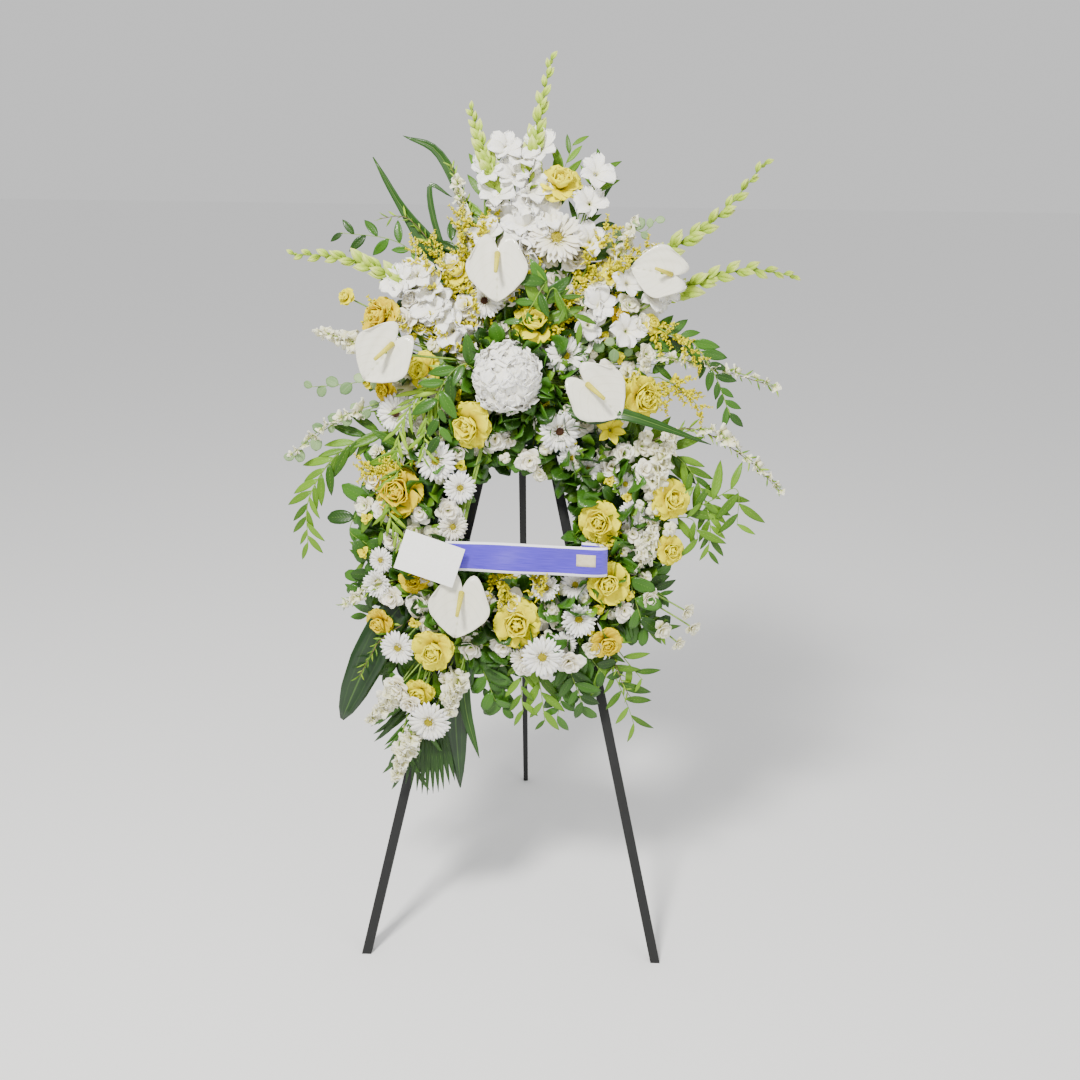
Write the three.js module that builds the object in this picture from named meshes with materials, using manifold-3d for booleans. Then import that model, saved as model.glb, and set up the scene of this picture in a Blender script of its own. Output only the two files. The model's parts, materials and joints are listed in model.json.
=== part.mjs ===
// Funeral wreath: a ring of wet floral foam dressed with roses, gerberas and greenery, with a large
// spray of gladioli and anthuriums on its top, a ribbon with a card, on a folding three-legged easel.
// Millimetres. +Z up, front towards -Y, +X to the viewer's right. The easel stands on the floor, z = 0.
//
// The wreath and the two front legs share one leaning plane. Inside it a point is given as
// (across, up, out): across is +X, up runs along the plane, and out stands square to it, to the front.

import * as THREE from 'three';
import { mergeVertices } from 'three/addons/utils/BufferGeometryUtils.js';
import Module from 'manifold-3d';

const wasm = await Module();
wasm.setup();

// ---------------------------------------------------------------- driving dimensions

const LEAN = THREE.MathUtils.degToRad(12.3); // how far the front legs lean back
const GAP = 0.3; // clearance between pieces that touch

const easel = {
  apexUp: 1337, // where the centre lines of the front legs would meet
  footSpread: 600, // between the centre lines at the floor
  legTopUp: 1285,
  legWidth: 19,
  legDepth: 18,
  rearFootBack: 699, // floor distance from the front feet's line to the rear foot
  rearWidth: 16,
  rearFootWidth: 11,
  rearDepth: 18,
  hingeUp: 1268,
  hingeOut: -34,
  hingeRadius: 3,
  hingeClearance: 0.08,
  stopRise: 11.8, // how far the rear leg's square top stands above its hinge
  blockHalfWidth: 27,
  blockLow: 1222,
  blockHigh: 1298,
  blockBack: -46,
  slotFloor: -20,
  slotHalfWidth: 8.6,
  crossbarUp: 655,
  crossbarHeight: 16,
  crossbarThick: 9,
  pegRadius: 5,
  pegOut: 30,
};

const ring = {
  across: 0,
  up: 911,
  coreRadius: 200, // middle of the foam
  halfWidth: 45,
  back: 14,
  front: 62,
  trayWall: 2.5,
  segments: 32,
};

const crest = { across: 0, low: 1140, high: 1238, halfWidth: 52, back: 66, front: 112, trayWall: 3 };

const STEM_SIDES = 5;
const BOLT_SIDES = 16;
const CREST_RIM = 7; // how far the crest's tray laps its foam
const ROOT_DEPTH = 17; // how deep a stem is pushed into the foam

// ---------------------------------------------------------------- where the flowers stand
// Every head has its place and its radius. A crest flower's stem starts at root, inside the block of
// foam on the ring's top; a ring flower's stem starts in the ring's foam, at the nearest point.

const roses = {
  rose_crest_high: { head: [75, 1545, 122], size: 27, root: [22, 1224, 82] },
  rose_crest_left: { head: [-258, 1300, 112], size: 29, root: [-42, 1190, 95] },
  rose_crest_centre: { head: [32, 1292, 128], size: 30, root: [18, 1205, 97] },
  rose_crest_heart: { head: [-176, 1202, 100], size: 27, root: [-40, 1176, 92] },
  rose_crest_right: { head: [236, 1158, 118], size: 31, root: [42, 1164, 86] },
  rose_crest_low: { head: [-88, 1102, 126], size: 32, root: [-24, 1152, 96] },
  rose_ring_left: { head: [-222, 976, 116], size: 35 },
  rose_ring_lower_left: { head: [-152, 672, 120], size: 31 },
  rose_ring_bottom: { head: [8, 726, 118], size: 33 },
  rose_ring_inner_right: { head: [160, 924, 112], size: 30 },
  rose_ring_right: { head: [180, 808, 116], size: 31 },
  rose_ring_far_right: { head: [296, 970, 100], size: 28 },
};

const gerberas = {
  gerbera_crest_top: { head: [70, 1446, 128], size: 52, root: [29, 1224, 96] },
  gerbera_crest_right: { head: [90, 1234, 122], size: 40, root: [30, 1192, 96] },
  gerbera_crest_low: { head: [82, 1094, 118], size: 40, root: [20, 1152, 96] },
  gerbera_ring_far_left: { head: [-226, 1122, 112], size: 40 },
  gerbera_ring_upper_left: { head: [-150, 1034, 118], size: 40 },
  gerbera_ring_bottom: { head: [58, 664, 122], size: 42 },
  gerbera_ring_lower_right: { head: [126, 736, 104], size: 38 },
  gerbera_tail: { head: [-160, 528, 112], size: 43 },
};

// tip: the direction of the spathe's point, in degrees anticlockwise from straight down.
const anthuriums = {
  anthurium_top: { head: [-36, 1392, 156], size: 58, root: [-3, 1208, 97], tip: 0 },
  anthurium_left: { head: [-236, 1232, 168], size: 58, root: [-34, 1218, 97], tip: -40 },
  anthurium_right: { head: [146, 1168, 160], size: 58, root: [40, 1182, 96], tip: 48 },
  anthurium_far_right: { head: [262, 1384, 142], size: 50, root: [44, 1218, 97], tip: -100 },
  anthurium_low: { head: [-98, 770, 150], size: 60, tip: -8 },
};

const hydrangeas = {
  hydrangea: { head: [-16, 1190, 146], size: 62, root: [-16, 1190, 92] },
};

// Long spikes: the path of each stalk, from the block of foam to its tip.
const spikes = {
  gladiolus_top: {
    path: [[8, 1222, 98], [8, 1380, 100], [18, 1540, 112], [40, 1690, 118], [54, 1766, 118]],
    florets: 9,
    from: 0.42,
    size: 20,
  },
  gladiolus_top_left: {
    path: [[-14, 1222, 92], [-16, 1380, 96], [-32, 1500, 108], [-70, 1610, 118], [-92, 1676, 118]],
    florets: 8,
    from: 0.5,
    size: 15,
  },
  gladiolus_left: {
    path: [[-46, 1208, 88], [-150, 1318, 100], [-255, 1384, 112], [-340, 1406, 118], [-420, 1410, 120]],
    florets: 8,
    from: 0.42,
    size: 15,
  },
  gladiolus_right_high: {
    path: [[34, 1226, 80], [150, 1340, 90], [270, 1424, 100], [366, 1492, 116], [446, 1588, 120]],
    florets: 8,
    from: 0.45,
    size: 14,
  },
  gladiolus_right_low: {
    path: [[44, 1204, 84], [160, 1282, 84], [300, 1358, 92], [410, 1394, 112], [510, 1384, 118]],
    florets: 8,
    from: 0.5,
    size: 13,
  },
  snapdragon_left: {
    path: [[-44, 1158, 84], [-160, 1156, 66], [-270, 1234, 78], [-370, 1272, 98]],
    florets: 7,
    from: 0.56,
    size: 17,
  },
};

// Leafy branches: a stalk with narrow leaves on both sides.
const branches = {
  branch_left: {
    path: [[-160, 1030, 40], [-250, 1086, 66], [-340, 1044, 80], [-398, 956, 82], [-402, 866, 76]],
    leaves: 10,
    length: 70,
    width: 17,
  },
  branch_right_high: {
    path: [[44, 1192, 80], [180, 1246, 82], [300, 1276, 96], [362, 1214, 104], [400, 1130, 100]],
    leaves: 10,
    length: 58,
    width: 16,
  },
  branch_right_low: {
    path: [[162, 1030, 40], [270, 1066, 60], [338, 1016, 70], [372, 930, 72], [372, 866, 68]],
    leaves: 10,
    length: 60,
    width: 16,
  },
  palm_frond: {
    path: [[-128, 760, 40], [-170, 640, 60], [-198, 540, 68], [-208, 470, 64], [-206, 430, 60]],
    leaves: 10,
    length: 118,
    width: 12,
    droop: 1.6,
    from: 0.5,
  },
};

// Single blades: the path of the midrib and the blade's greatest width.
const blades = {
  blade_leaf_right: { path: [[60, 1150, 96], [140, 1120, 128], [200, 1128, 152], [360, 1076, 156]], width: 26 },
  spear_leaf: { path: [[-34, 1226, 82], [-130, 1380, 78], [-216, 1496, 82], [-274, 1592, 86]], width: 40 },
  hanging_leaf: { path: [[-90, 730, 46], [-104, 650, 70], [-114, 540, 60], [-104, 376, 46]], width: 42 },
  broad_leaf: { path: [[-176, 800, 46], [-246, 716, 74], [-296, 616, 66], [-342, 512, 50]], width: 70 },
};

// The skirt of greens behind the ring: tips per turn, and its reach in a few directions
// (degrees anticlockwise from +across, radius).
const collar = {
  inner: 249,
  tips: 34,
  back: 18,
  thick: 6,
  notch: 0.86,
  reach: [[0, 330], [45, 345], [90, 300], [135, 345], [180, 335], [225, 430], [270, 405], [315, 430], [360, 330]],
};

// The fan of greens behind the crest: directions in degrees and reach from the crest's centre.
const fan = {
  across: 5,
  up: 1196,
  back: 46,
  thick: 7,
  tips: 19,
  from: 2,
  to: 178,
  notch: 0.8,
  reach: [[0, 300], [30, 330], [60, 350], [90, 330], [120, 350], [150, 330], [180, 300]],
};

const ribbon = {
  up: 856,
  height: 56,
  thick: 0.8,
  tilt: THREE.MathUtils.degToRad(-1),
  line: [[-128, 136], [-80, 146], [0, 152], [80, 148], [150, 150], [172, 144], [160, 136]],
};
const card = { across: -154, up: 856, out: 168, width: 115, height: 76, thick: 0.8, turn: THREE.MathUtils.degToRad(-18) };

// ---------------------------------------------------------------- colours

const colours = {
  paintedTimber: ['#26282a', 0.55, 0],
  zincSteel: ['#a9abad', 0.35, 0.9],
  plasticTray: ['#2c4a2c', 0.45, 0],
  wetFoam: ['#3c5a34', 0.95, 0],
  rose: ['#ecca30', 0.6, 0],
  gerbera: ['#f6f3ea', 0.6, 0],
  anthurium: ['#f8f6ee', 0.35, 0],
  hydrangea: ['#f4f2e8', 0.7, 0],
  gladiolus: ['#dfe4c0', 0.6, 0],
  snapdragon: ['#e9e6c4', 0.6, 0],
  leaf: ['#3d5a26', 0.5, 0],
  paleLeaf: ['#6c8438', 0.5, 0],
  ribbon: ['#8a7ed2', 0.45, 0],
  paper: ['#f7f6f3', 0.8, 0],
};

function material([color, roughness, metalness]) {
  return new THREE.MeshStandardMaterial({ color, roughness, metalness });
}

// ---------------------------------------------------------------- solids

// A closed geometry as a solid that can be joined and cut.
function solid(geometry) {
  const bare = geometry.clone();
  bare.deleteAttribute('normal');
  bare.deleteAttribute('uv');
  const merged = mergeVertices(bare, 1e-3);
  const faces = [];
  const index = merged.index.array;
  for (let i = 0; i < index.length; i += 3) {
    const [a, b, c] = [index[i], index[i + 1], index[i + 2]];
    if (a !== b && b !== c && c !== a) faces.push(a, b, c);
  }
  const vertProperties = new Float32Array(merged.attributes.position.array);
  const build = (triVerts) =>
    new wasm.Manifold(new wasm.Mesh({ numProp: 3, vertProperties, triVerts: new Uint32Array(triVerts) }));
  const made = build(faces);
  return made.volume() > 0 ? made : build(faces.reverse());
}

function join(...geometries) {
  return geometries.map(solid).reduce((whole, next) => whole.add(next));
}

const SLIVER = 0.05; // edges shorter than this are closed up after a cut

function geometryOf(manifold) {
  const { vertProperties, triVerts } = manifold.simplify(SLIVER).getMesh();
  const geometry = new THREE.BufferGeometry();
  geometry.setAttribute('position', new THREE.BufferAttribute(vertProperties, 3));
  geometry.setIndex(new THREE.BufferAttribute(triVerts, 1));
  geometry.computeVertexNormals();
  return geometry;
}

function named(name, geometry, colour) {
  const mesh = new THREE.Mesh(geometry, material(colour));
  mesh.name = name;
  return mesh;
}

// (across, up, out) in the leaning plane to the plane group's own axes.
const at = (across, up, out) => new THREE.Vector3(across, -out, up);
const FORWARD = at(0, 0, 1);

const regular = (radius, sides) =>
  new THREE.Shape(
    Array.from({ length: sides }, (_, i) => {
      const angle = (2 * Math.PI * i) / sides;
      return new THREE.Vector2(radius * Math.cos(angle), radius * Math.sin(angle));
    }),
  );

function stalk(curve, radius, steps, sides = STEM_SIDES) {
  return new THREE.ExtrudeGeometry(regular(radius, sides), { steps, bevelEnabled: false, extrudePath: curve });
}

function lathe(points, segments) {
  return new THREE.LatheGeometry(points.map(([r, h]) => new THREE.Vector2(r, h)), segments);
}

// A pointed bud, longer than it is thick.
function bud(radius, stretch, centre, direction) {
  const geometry = new THREE.OctahedronGeometry(radius, 0);
  geometry.scale(1, stretch, 1);
  geometry.applyQuaternion(new THREE.Quaternion().setFromUnitVectors(new THREE.Vector3(0, 1, 0), direction));
  geometry.translate(centre.x, centre.y, centre.z);
  return geometry;
}

// A flat pointed leaf that runs along +Y from the origin, with its face towards +Z.
function leafShape(length, width, thick) {
  const geometry = new THREE.OctahedronGeometry(1, 0);
  geometry.scale(width / 2, length / 2, thick / 2);
  geometry.translate(0, length / 2, 0);
  return geometry;
}

// Value at x of a line through [x, value] pairs.
function along(pairs, x) {
  const next = Math.max(1, pairs.findIndex(([at0]) => at0 >= x));
  const [x0, v0] = pairs[next - 1];
  const [x1, v1] = pairs[next];
  return THREE.MathUtils.mapLinear(x, x0, x1, v0, v1);
}

// ---------------------------------------------------------------- the easel

const wreathPlane = new THREE.Group();
wreathPlane.rotation.x = -LEAN;

// Everything below the floor, as it stands in the leaning plane.
function floorBlock() {
  const block = new THREE.BoxGeometry(2000, 2000, 200);
  block.translate(0, 0, -100);
  block.rotateX(LEAN);
  return solid(block);
}

const legAngle = Math.atan2(easel.footSpread / 2, easel.apexUp);

function frontLeg(side) {
  const run = easel.legTopUp / Math.cos(legAngle);
  const extra = 30; // runs on below the floor, to be cut level
  const beam = new THREE.BoxGeometry(easel.legWidth, easel.legDepth, run + extra);
  beam.translate(0, 0, (run - extra) / 2);
  beam.rotateY(-side * legAngle);
  beam.translate((side * easel.footSpread) / 2, 0, 0);
  const top = new THREE.BoxGeometry(200, 200, 200);
  top.translate(0, 0, easel.legTopUp + 100);
  return solid(beam).subtract(floorBlock()).subtract(solid(top));
}

// A round rod along the plane's across direction.
function crossRod(radius, length) {
  const rod = new THREE.CylinderGeometry(radius, radius, length, BOLT_SIDES);
  rod.rotateZ(Math.PI / 2);
  return rod;
}

function headBlock() {
  const front = -easel.legDepth / 2 - GAP;
  const depth = front - easel.blockBack;
  const height = easel.blockHigh - easel.blockLow;
  const block = new THREE.BoxGeometry(2 * easel.blockHalfWidth, depth, height);
  block.translate(0, -(front + easel.blockBack) / 2, (easel.blockLow + easel.blockHigh) / 2);
  const slot = new THREE.BoxGeometry(2 * easel.slotHalfWidth, 100, 2 * height);
  slot.translate(0, -easel.slotFloor + 50, (easel.blockLow + easel.blockHigh) / 2);
  const bore = crossRod(easel.hingeRadius + easel.hingeClearance, 200);
  bore.translate(0, -easel.hingeOut, easel.hingeUp);
  return solid(block).subtract(solid(slot)).subtract(solid(bore));
}

// The rear leg in its own frame: the hinge's axis is the origin and the leg runs down -Z.
const hinge = at(0, easel.hingeUp, easel.hingeOut).applyAxisAngle(new THREE.Vector3(1, 0, 0), -LEAN);
const rearAngle = Math.atan2(easel.rearFootBack - hinge.y, hinge.z);
const rearRun = Math.hypot(easel.rearFootBack - hinge.y, hinge.z);

function rearLeg() {
  const extra = 30;
  const length = rearRun + extra + easel.stopRise;
  const beam = new THREE.BoxGeometry(easel.rearWidth, easel.rearDepth, length);
  beam.translate(0, 0, easel.stopRise - length / 2);
  const places = beam.attributes.position;
  for (let i = 0; i < places.count; i += 1) {
    const down = THREE.MathUtils.clamp(-places.getZ(i) / rearRun, 0, 1);
    const narrow = THREE.MathUtils.lerp(1, easel.rearFootWidth / easel.rearWidth, down);
    places.setX(i, places.getX(i) * narrow);
    places.setY(i, places.getY(i) * THREE.MathUtils.lerp(1, 0.8, down));
  }
  const ground = new THREE.BoxGeometry(400, 2000, 200);
  ground.translate(0, 0, -hinge.z - 100);
  ground.rotateX(-rearAngle);
  const bore = crossRod(easel.hingeRadius + easel.hingeClearance, 60);
  return solid(beam).subtract(solid(ground)).subtract(solid(bore));
}

function hingeBolt() {
  const reach = easel.blockHalfWidth;
  const r = easel.hingeRadius;
  const bolt = lathe(
    [[0, -reach - 16], [r, -reach - 16], [r, reach + GAP], [7, reach + GAP], [7, reach + 3], [5, reach + 5], [0, reach + 5]],
    BOLT_SIDES,
  );
  bolt.rotateZ(-Math.PI / 2);
  return bolt;
}

function wingNut() {
  const hub = lathe([[0, 0], [7, 0], [5.5, 9], [0, 9]], 12);
  const wing = new THREE.BoxGeometry(30, 6, 3);
  wing.translate(0, 8, 0);
  const bore = new THREE.CylinderGeometry(easel.hingeRadius + 0.1, easel.hingeRadius + 0.1, 60, BOLT_SIDES);
  const nut = geometryOf(join(hub, wing).subtract(solid(bore)));
  nut.rotateZ(Math.PI / 2);
  return nut;
}

function crossbar() {
  const half = easel.crossbarHeight / 2;
  const edge = (up) => legAcross(up) - easel.legWidth / 2 / Math.cos(legAngle) - GAP;
  const low = easel.crossbarUp - half;
  const high = easel.crossbarUp + half;
  const shape = new THREE.Shape([
    new THREE.Vector2(-edge(low), low),
    new THREE.Vector2(edge(low), low),
    new THREE.Vector2(edge(high), high),
    new THREE.Vector2(-edge(high), high),
  ]);
  const bar = new THREE.ExtrudeGeometry(shape, { depth: easel.crossbarThick, bevelEnabled: false });
  bar.rotateX(Math.PI / 2);
  bar.translate(0, easel.crossbarThick / 2, 0);
  return bar;
}

// A peg stands out of the leg's front face, under the ring's rim.
function peg() {
  const length = easel.pegOut;
  const r = easel.pegRadius;
  return lathe([[0, 0], [r, 0], [r, length - 4], [r + 2, length - 3], [r + 2, length], [0, length]], 12);
}

// Half the distance between the front legs' centre lines at a height in their plane.
const legAcross = (up) => (easel.footSpread / 2) * (1 - up / easel.apexUp);

// The height at which a peg on the leg's centre line just carries the ring's rim.
function pegHeight() {
  const reach = ring.coreRadius + ring.halfWidth + easel.pegRadius + GAP;
  let low = ring.up - reach;
  let high = ring.up;
  for (let i = 0; i < 40; i += 1) {
    const middle = (low + high) / 2;
    if (Math.hypot(legAcross(middle), middle - ring.up) > reach) low = middle;
    else high = middle;
  }
  return low;
}

for (const [side, word] of [[-1, 'left'], [1, 'right']]) {
  wreathPlane.add(named(`front_leg_${word}`, geometryOf(frontLeg(side)), colours.paintedTimber));
  const holder = named(`ring_peg_${word}`, peg(), colours.zincSteel);
  const up = pegHeight();
  holder.position.copy(at(side * legAcross(up), up, easel.legDepth / 2 + GAP));
  holder.rotation.x = Math.PI;
  wreathPlane.add(holder);
}
wreathPlane.add(named('head_block', geometryOf(headBlock()), colours.paintedTimber));
wreathPlane.add(named('crossbar', crossbar(), colours.paintedTimber));

const bolt = named('hinge_bolt', hingeBolt(), colours.zincSteel);
bolt.position.copy(at(0, easel.hingeUp, easel.hingeOut));
wreathPlane.add(bolt);

const nut = named('wing_nut', wingNut(), colours.zincSteel);
nut.position.copy(at(-easel.blockHalfWidth - GAP, easel.hingeUp, easel.hingeOut));
wreathPlane.add(nut);

const rear = named('rear_leg', geometryOf(rearLeg()), colours.paintedTimber);
rear.position.copy(hinge);
rear.rotation.x = rearAngle;

// ---------------------------------------------------------------- the ring and its foam

// A ring of revolution about the out direction, standing in the wreath's plane.
function turnedRing(profile) {
  const geometry = lathe([...profile, profile[0]], ring.segments);
  geometry.rotateX(Math.PI);
  geometry.translate(ring.across, 0, ring.up);
  return geometry;
}

function foamRing() {
  const inner = ring.coreRadius - ring.halfWidth + ring.trayWall + GAP;
  const outer = ring.coreRadius + ring.halfWidth - ring.trayWall - GAP;
  const back = ring.back + ring.trayWall + GAP;
  return turnedRing([[inner, back], [outer, back], [outer, 48], [outer - 14, ring.front], [inner + 14, ring.front], [inner, 48]]);
}

function ringTray() {
  const inner = ring.coreRadius - ring.halfWidth;
  const outer = ring.coreRadius + ring.halfWidth;
  const wall = ring.trayWall;
  const rim = 34;
  const floor = ring.back + wall;
  return turnedRing([
    [inner, ring.back], [outer, ring.back], [outer, rim], [outer - wall, rim], [outer - wall, floor],
    [inner + wall, floor], [inner + wall, rim], [inner, rim],
  ]);
}

// A box in the plane's terms: across, up and out ranges.
function planeBox([acrossLow, acrossHigh], [upLow, upHigh], [outLow, outHigh]) {
  const box = new THREE.BoxGeometry(acrossHigh - acrossLow, outHigh - outLow, upHigh - upLow);
  const centre = at((acrossLow + acrossHigh) / 2, (upLow + upHigh) / 2, (outLow + outHigh) / 2);
  box.translate(centre.x, centre.y, centre.z);
  return box;
}

function crestBox(grow, back, front) {
  const half = crest.halfWidth + grow;
  return planeBox([crest.across - half, crest.across + half], [crest.low - grow, crest.high + grow], [back, front]);
}

function crestTray() {
  const wall = crest.trayWall;
  const outside = crestBox(wall + GAP, ring.front + GAP, crest.back + CREST_RIM);
  const inside = crestBox(GAP, ring.front + GAP + wall, crest.front + 50);
  return solid(outside).subtract(solid(inside));
}

// ---------------------------------------------------------------- stems and flowers

const stemHoles = { ring: [], crest: [] };

// The point in the ring's foam nearest to a place in front of it.
function ringRoot(across, up) {
  const angle = Math.atan2(up - ring.up, across - ring.across);
  return at(
    ring.across + ring.coreRadius * Math.cos(angle),
    ring.up + ring.coreRadius * Math.sin(angle),
    ring.front - ROOT_DEPTH,
  );
}

// Puts a flower's head at its place, turned to face outwards, and grows its stem back to the foam.
// neck is the distance behind the head's centre at which the stem meets it, and into how far it runs on.
function flower(name, spot, head, colour, { neck, into, forward = 0.6, stem = 2.6 }) {
  const place = at(...spot.head);
  const root = spot.root ? at(...spot.root) : ringRoot(...spot.head);
  const away = place.clone().sub(root).normalize();
  const facing = away.clone().multiplyScalar(1 - forward).addScaledVector(FORWARD, forward).normalize();
  const turn = new THREE.Quaternion().setFromUnitVectors(FORWARD, facing);
  const roll = THREE.MathUtils.degToRad(spot.tip ?? 0);
  turn.multiply(new THREE.Quaternion().setFromAxisAngle(FORWARD, roll));

  const meets = place.clone().addScaledVector(facing, -neck);
  const span = meets.distanceTo(root);
  const path = (start) =>
    new THREE.CubicBezierCurve3(
      start,
      root.clone().addScaledVector(away, span * 0.35),
      meets.clone().addScaledVector(facing, -span * 0.35),
      meets.clone().addScaledVector(facing, into),
    );
  const steps = 4;
  const hole = stalk(path(root.clone().addScaledVector(away, -GAP)), stem + GAP, steps);
  stemHoles[spot.root ? 'crest' : 'ring'].push(hole);

  const stemGeometry = stalk(path(root), stem, steps);
  const inverse = new THREE.Matrix4().compose(place, turn, new THREE.Vector3(1, 1, 1)).invert();
  stemGeometry.applyMatrix4(inverse);
  const mesh = named(name, geometryOf(join(stemGeometry, ...head)), colour);
  mesh.position.copy(place);
  mesh.quaternion.copy(turn);
  wreathPlane.add(mesh);
  return mesh;
}

// A lathe's axis is +Y. Heads are built about their centre with the face towards FORWARD, which is -Y.
function facingForward(geometry) {
  geometry.rotateX(Math.PI);
  return geometry;
}

function roseHead(radius) {
  const r = radius;
  const cup = lathe(
    [[0, -0.85 * r], [0.3 * r, -0.75 * r], [0.82 * r, -0.35 * r], [r, 0.15 * r], [0.88 * r, 0.55 * r],
      [0.6 * r, 0.72 * r], [0.3 * r, 0.6 * r], [0, 0.55 * r]],
    10,
  );
  return [facingForward(cup)];
}

function gerberaHead(radius) {
  const r = radius;
  const petals = 10;
  const disc = lathe(
    [[0, -0.34 * r], [0.2 * r, -0.26 * r], [r, 0], [0.98 * r, 0.1 * r], [0.3 * r, 0.03 * r], [0, 0.24 * r]],
    2 * petals,
  );
  const places = disc.attributes.position;
  for (let i = 0; i < places.count; i += 1) {
    const distance = Math.hypot(places.getX(i), places.getZ(i));
    if (distance < 0.9 * r) continue;
    const sector = Math.round((Math.atan2(places.getZ(i), places.getX(i)) / Math.PI) * petals);
    const shorten = sector % 2 === 0 ? 1 : 0.84;
    places.setX(i, places.getX(i) * shorten);
    places.setZ(i, places.getZ(i) * shorten);
  }
  return [facingForward(disc)];
}

// The spathe is a shallow dish whose rim follows a heart; the spadix stands out of it.
function anthuriumHead(size) {
  const s = size;
  const bump = (degrees, centre, spread) => Math.exp(-(((degrees - centre) / spread) ** 2));
  const heart = (degrees) => 0.95 - 0.45 * bump(degrees, 90, 17) + 0.18 * bump(degrees, -90, 22);
  const spathe = lathe([[0, -2.4], [0.55 * s, -1.2], [s, 0.08 * s], [0.5 * s, 0.5], [0, 0]], 18);
  const places = spathe.attributes.position;
  for (let i = 0; i < places.count; i += 1) {
    const degrees = THREE.MathUtils.radToDeg(Math.atan2(-places.getZ(i), places.getX(i)));
    const from = degrees < -180 + 1e-6 ? 180 : degrees;
    const scale = heart(from);
    places.setX(i, places.getX(i) * scale);
    places.setZ(i, places.getZ(i) * scale);
  }
  const spadix = new THREE.CapsuleGeometry(0.07 * s, 0.75 * s, 1, 6);
  spadix.applyQuaternion(new THREE.Quaternion().setFromUnitVectors(new THREE.Vector3(0, 1, 0), at(0, -0.6, 0.8)));
  spadix.translate(0, -0.3 * s, 0.1 * s);
  return [facingForward(spathe), spadix];
}

function hydrangeaHead(radius) {
  const dome = new THREE.IcosahedronGeometry(radius, 2);
  const places = dome.attributes.position;
  for (let i = 0; i < places.count; i += 1) {
    const deep = places.getY(i) > 0 ? 0.45 : 0.8;
    places.setY(i, places.getY(i) * deep);
  }
  return [dome];
}

const kinds = [
  { flowers: roses, head: roseHead, colour: colours.rose, style: (r) => ({ neck: 0.8 * r, into: 0.4 * r }) },
  {
    flowers: gerberas,
    head: gerberaHead,
    colour: colours.gerbera,
    style: (r) => ({ neck: 0.3 * r, into: 0.2 * r, forward: 0.75 }),
  },
  {
    flowers: anthuriums,
    head: anthuriumHead,
    colour: colours.anthurium,
    style: () => ({ neck: 2, into: 1.4, forward: 0.92, stem: 2.2 }),
  },
  {
    flowers: hydrangeas,
    head: hydrangeaHead,
    colour: colours.hydrangea,
    style: (r) => ({ neck: 0.4 * r, into: 0.2 * r, forward: 1, stem: 3 }),
  },
];
for (const { flowers, head, colour, style } of kinds) {
  for (const [name, spot] of Object.entries(flowers)) {
    flower(name, spot, head(spot.size), colour, style(spot.size));
  }
}

// ---------------------------------------------------------------- spikes, branches and blades

const curveOf = (points) => new THREE.CatmullRomCurve3(points.map((point) => at(...point)), false, 'centripetal');

// A frame at a point of a curve: its direction, and the side direction in the wreath's plane.
function frameAt(curve, t) {
  const place = curve.getPointAt(t);
  const ahead = curve.getTangentAt(t).normalize();
  const side = ahead.clone().cross(FORWARD).normalize();
  return { place, ahead, side };
}

const LEAF_THICK = 2.4;
const STALK_STEPS = 12;

// The nearest station of a stalk to a share of its length, where its axis is exactly the curve's.
const station = (share) => Math.round(share * STALK_STEPS) / STALK_STEPS;

const rootedGroup = ([, , out]) => (out < ring.front ? 'ring' : 'crest');

// Keeps the hole for a stalk that starts in the foam: the stalk itself, a little thicker and deeper.
function noteHole(points, radius) {
  const curve = curveOf(points);
  const start = curve.getPointAt(0);
  const ahead = curve.getTangentAt(0);
  const foot = new THREE.LineCurve3(start.clone().addScaledVector(ahead, -GAP), start.clone().addScaledVector(ahead, 4));
  const wider = radius + 2 * GAP;
  stemHoles[rootedGroup(points[0])].push(stalk(curve, wider, STALK_STEPS, 4), stalk(foot, wider, 1, 4));
}

// Centres a geometry's coordinates on a point, so that its mesh can be placed there.
function placed(name, manifold, origin, colour) {
  const geometry = geometryOf(manifold);
  geometry.translate(-origin.x, -origin.y, -origin.z);
  const mesh = named(name, geometry, colour);
  mesh.position.copy(origin);
  wreathPlane.add(mesh);
}

function spike({ path, florets, from, size }) {
  const curve = curveOf(path);
  const parts = [stalk(curve, 2.8, STALK_STEPS, 4)];
  for (let i = 0; i < florets; i += 1) {
    const share = i / (florets - 1);
    const { place, ahead, side } = frameAt(curve, station(THREE.MathUtils.lerp(from, 1, share)));
    const swell = size * THREE.MathUtils.lerp(1, 0.4, share);
    const hand = i % 2 === 0 ? 1 : -1;
    const lean = ahead.clone().addScaledVector(side, 0.45 * hand).normalize();
    const centre = place.clone().addScaledVector(lean, swell * 0.45);
    parts.push(bud(swell * 0.8, 1.6, centre, lean));
  }
  return join(...parts);
}

function branch({ path, leaves, length, width, droop = 0, from = 0.3 }) {
  const curve = curveOf(path);
  const parts = [stalk(curve, 2, STALK_STEPS, 4)];
  for (let i = 0; i < leaves; i += 1) {
    const share = i / (leaves - 1);
    const { place, ahead, side } = frameAt(curve, station(THREE.MathUtils.lerp(from, 1, share)));
    const hand = i % 2 === 0 ? 1 : -1;
    const down = at(0, -1, 0);
    const direction = ahead.clone().addScaledVector(side, 0.75 * hand).addScaledVector(down, droop).normalize();
    const leaf = leafShape(length, width, LEAF_THICK);
    const normal = FORWARD.clone().addScaledVector(direction, -FORWARD.dot(direction)).normalize();
    const across = direction.clone().cross(normal);
    leaf.applyMatrix4(new THREE.Matrix4().makeBasis(across, direction, normal));
    place.addScaledVector(direction, -4);
    leaf.translate(place.x, place.y, place.z);
    parts.push(leaf);
  }
  return join(...parts);
}

const BLADE_STALK = 0.12; // the share of a blade's length that is its stalk

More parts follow.
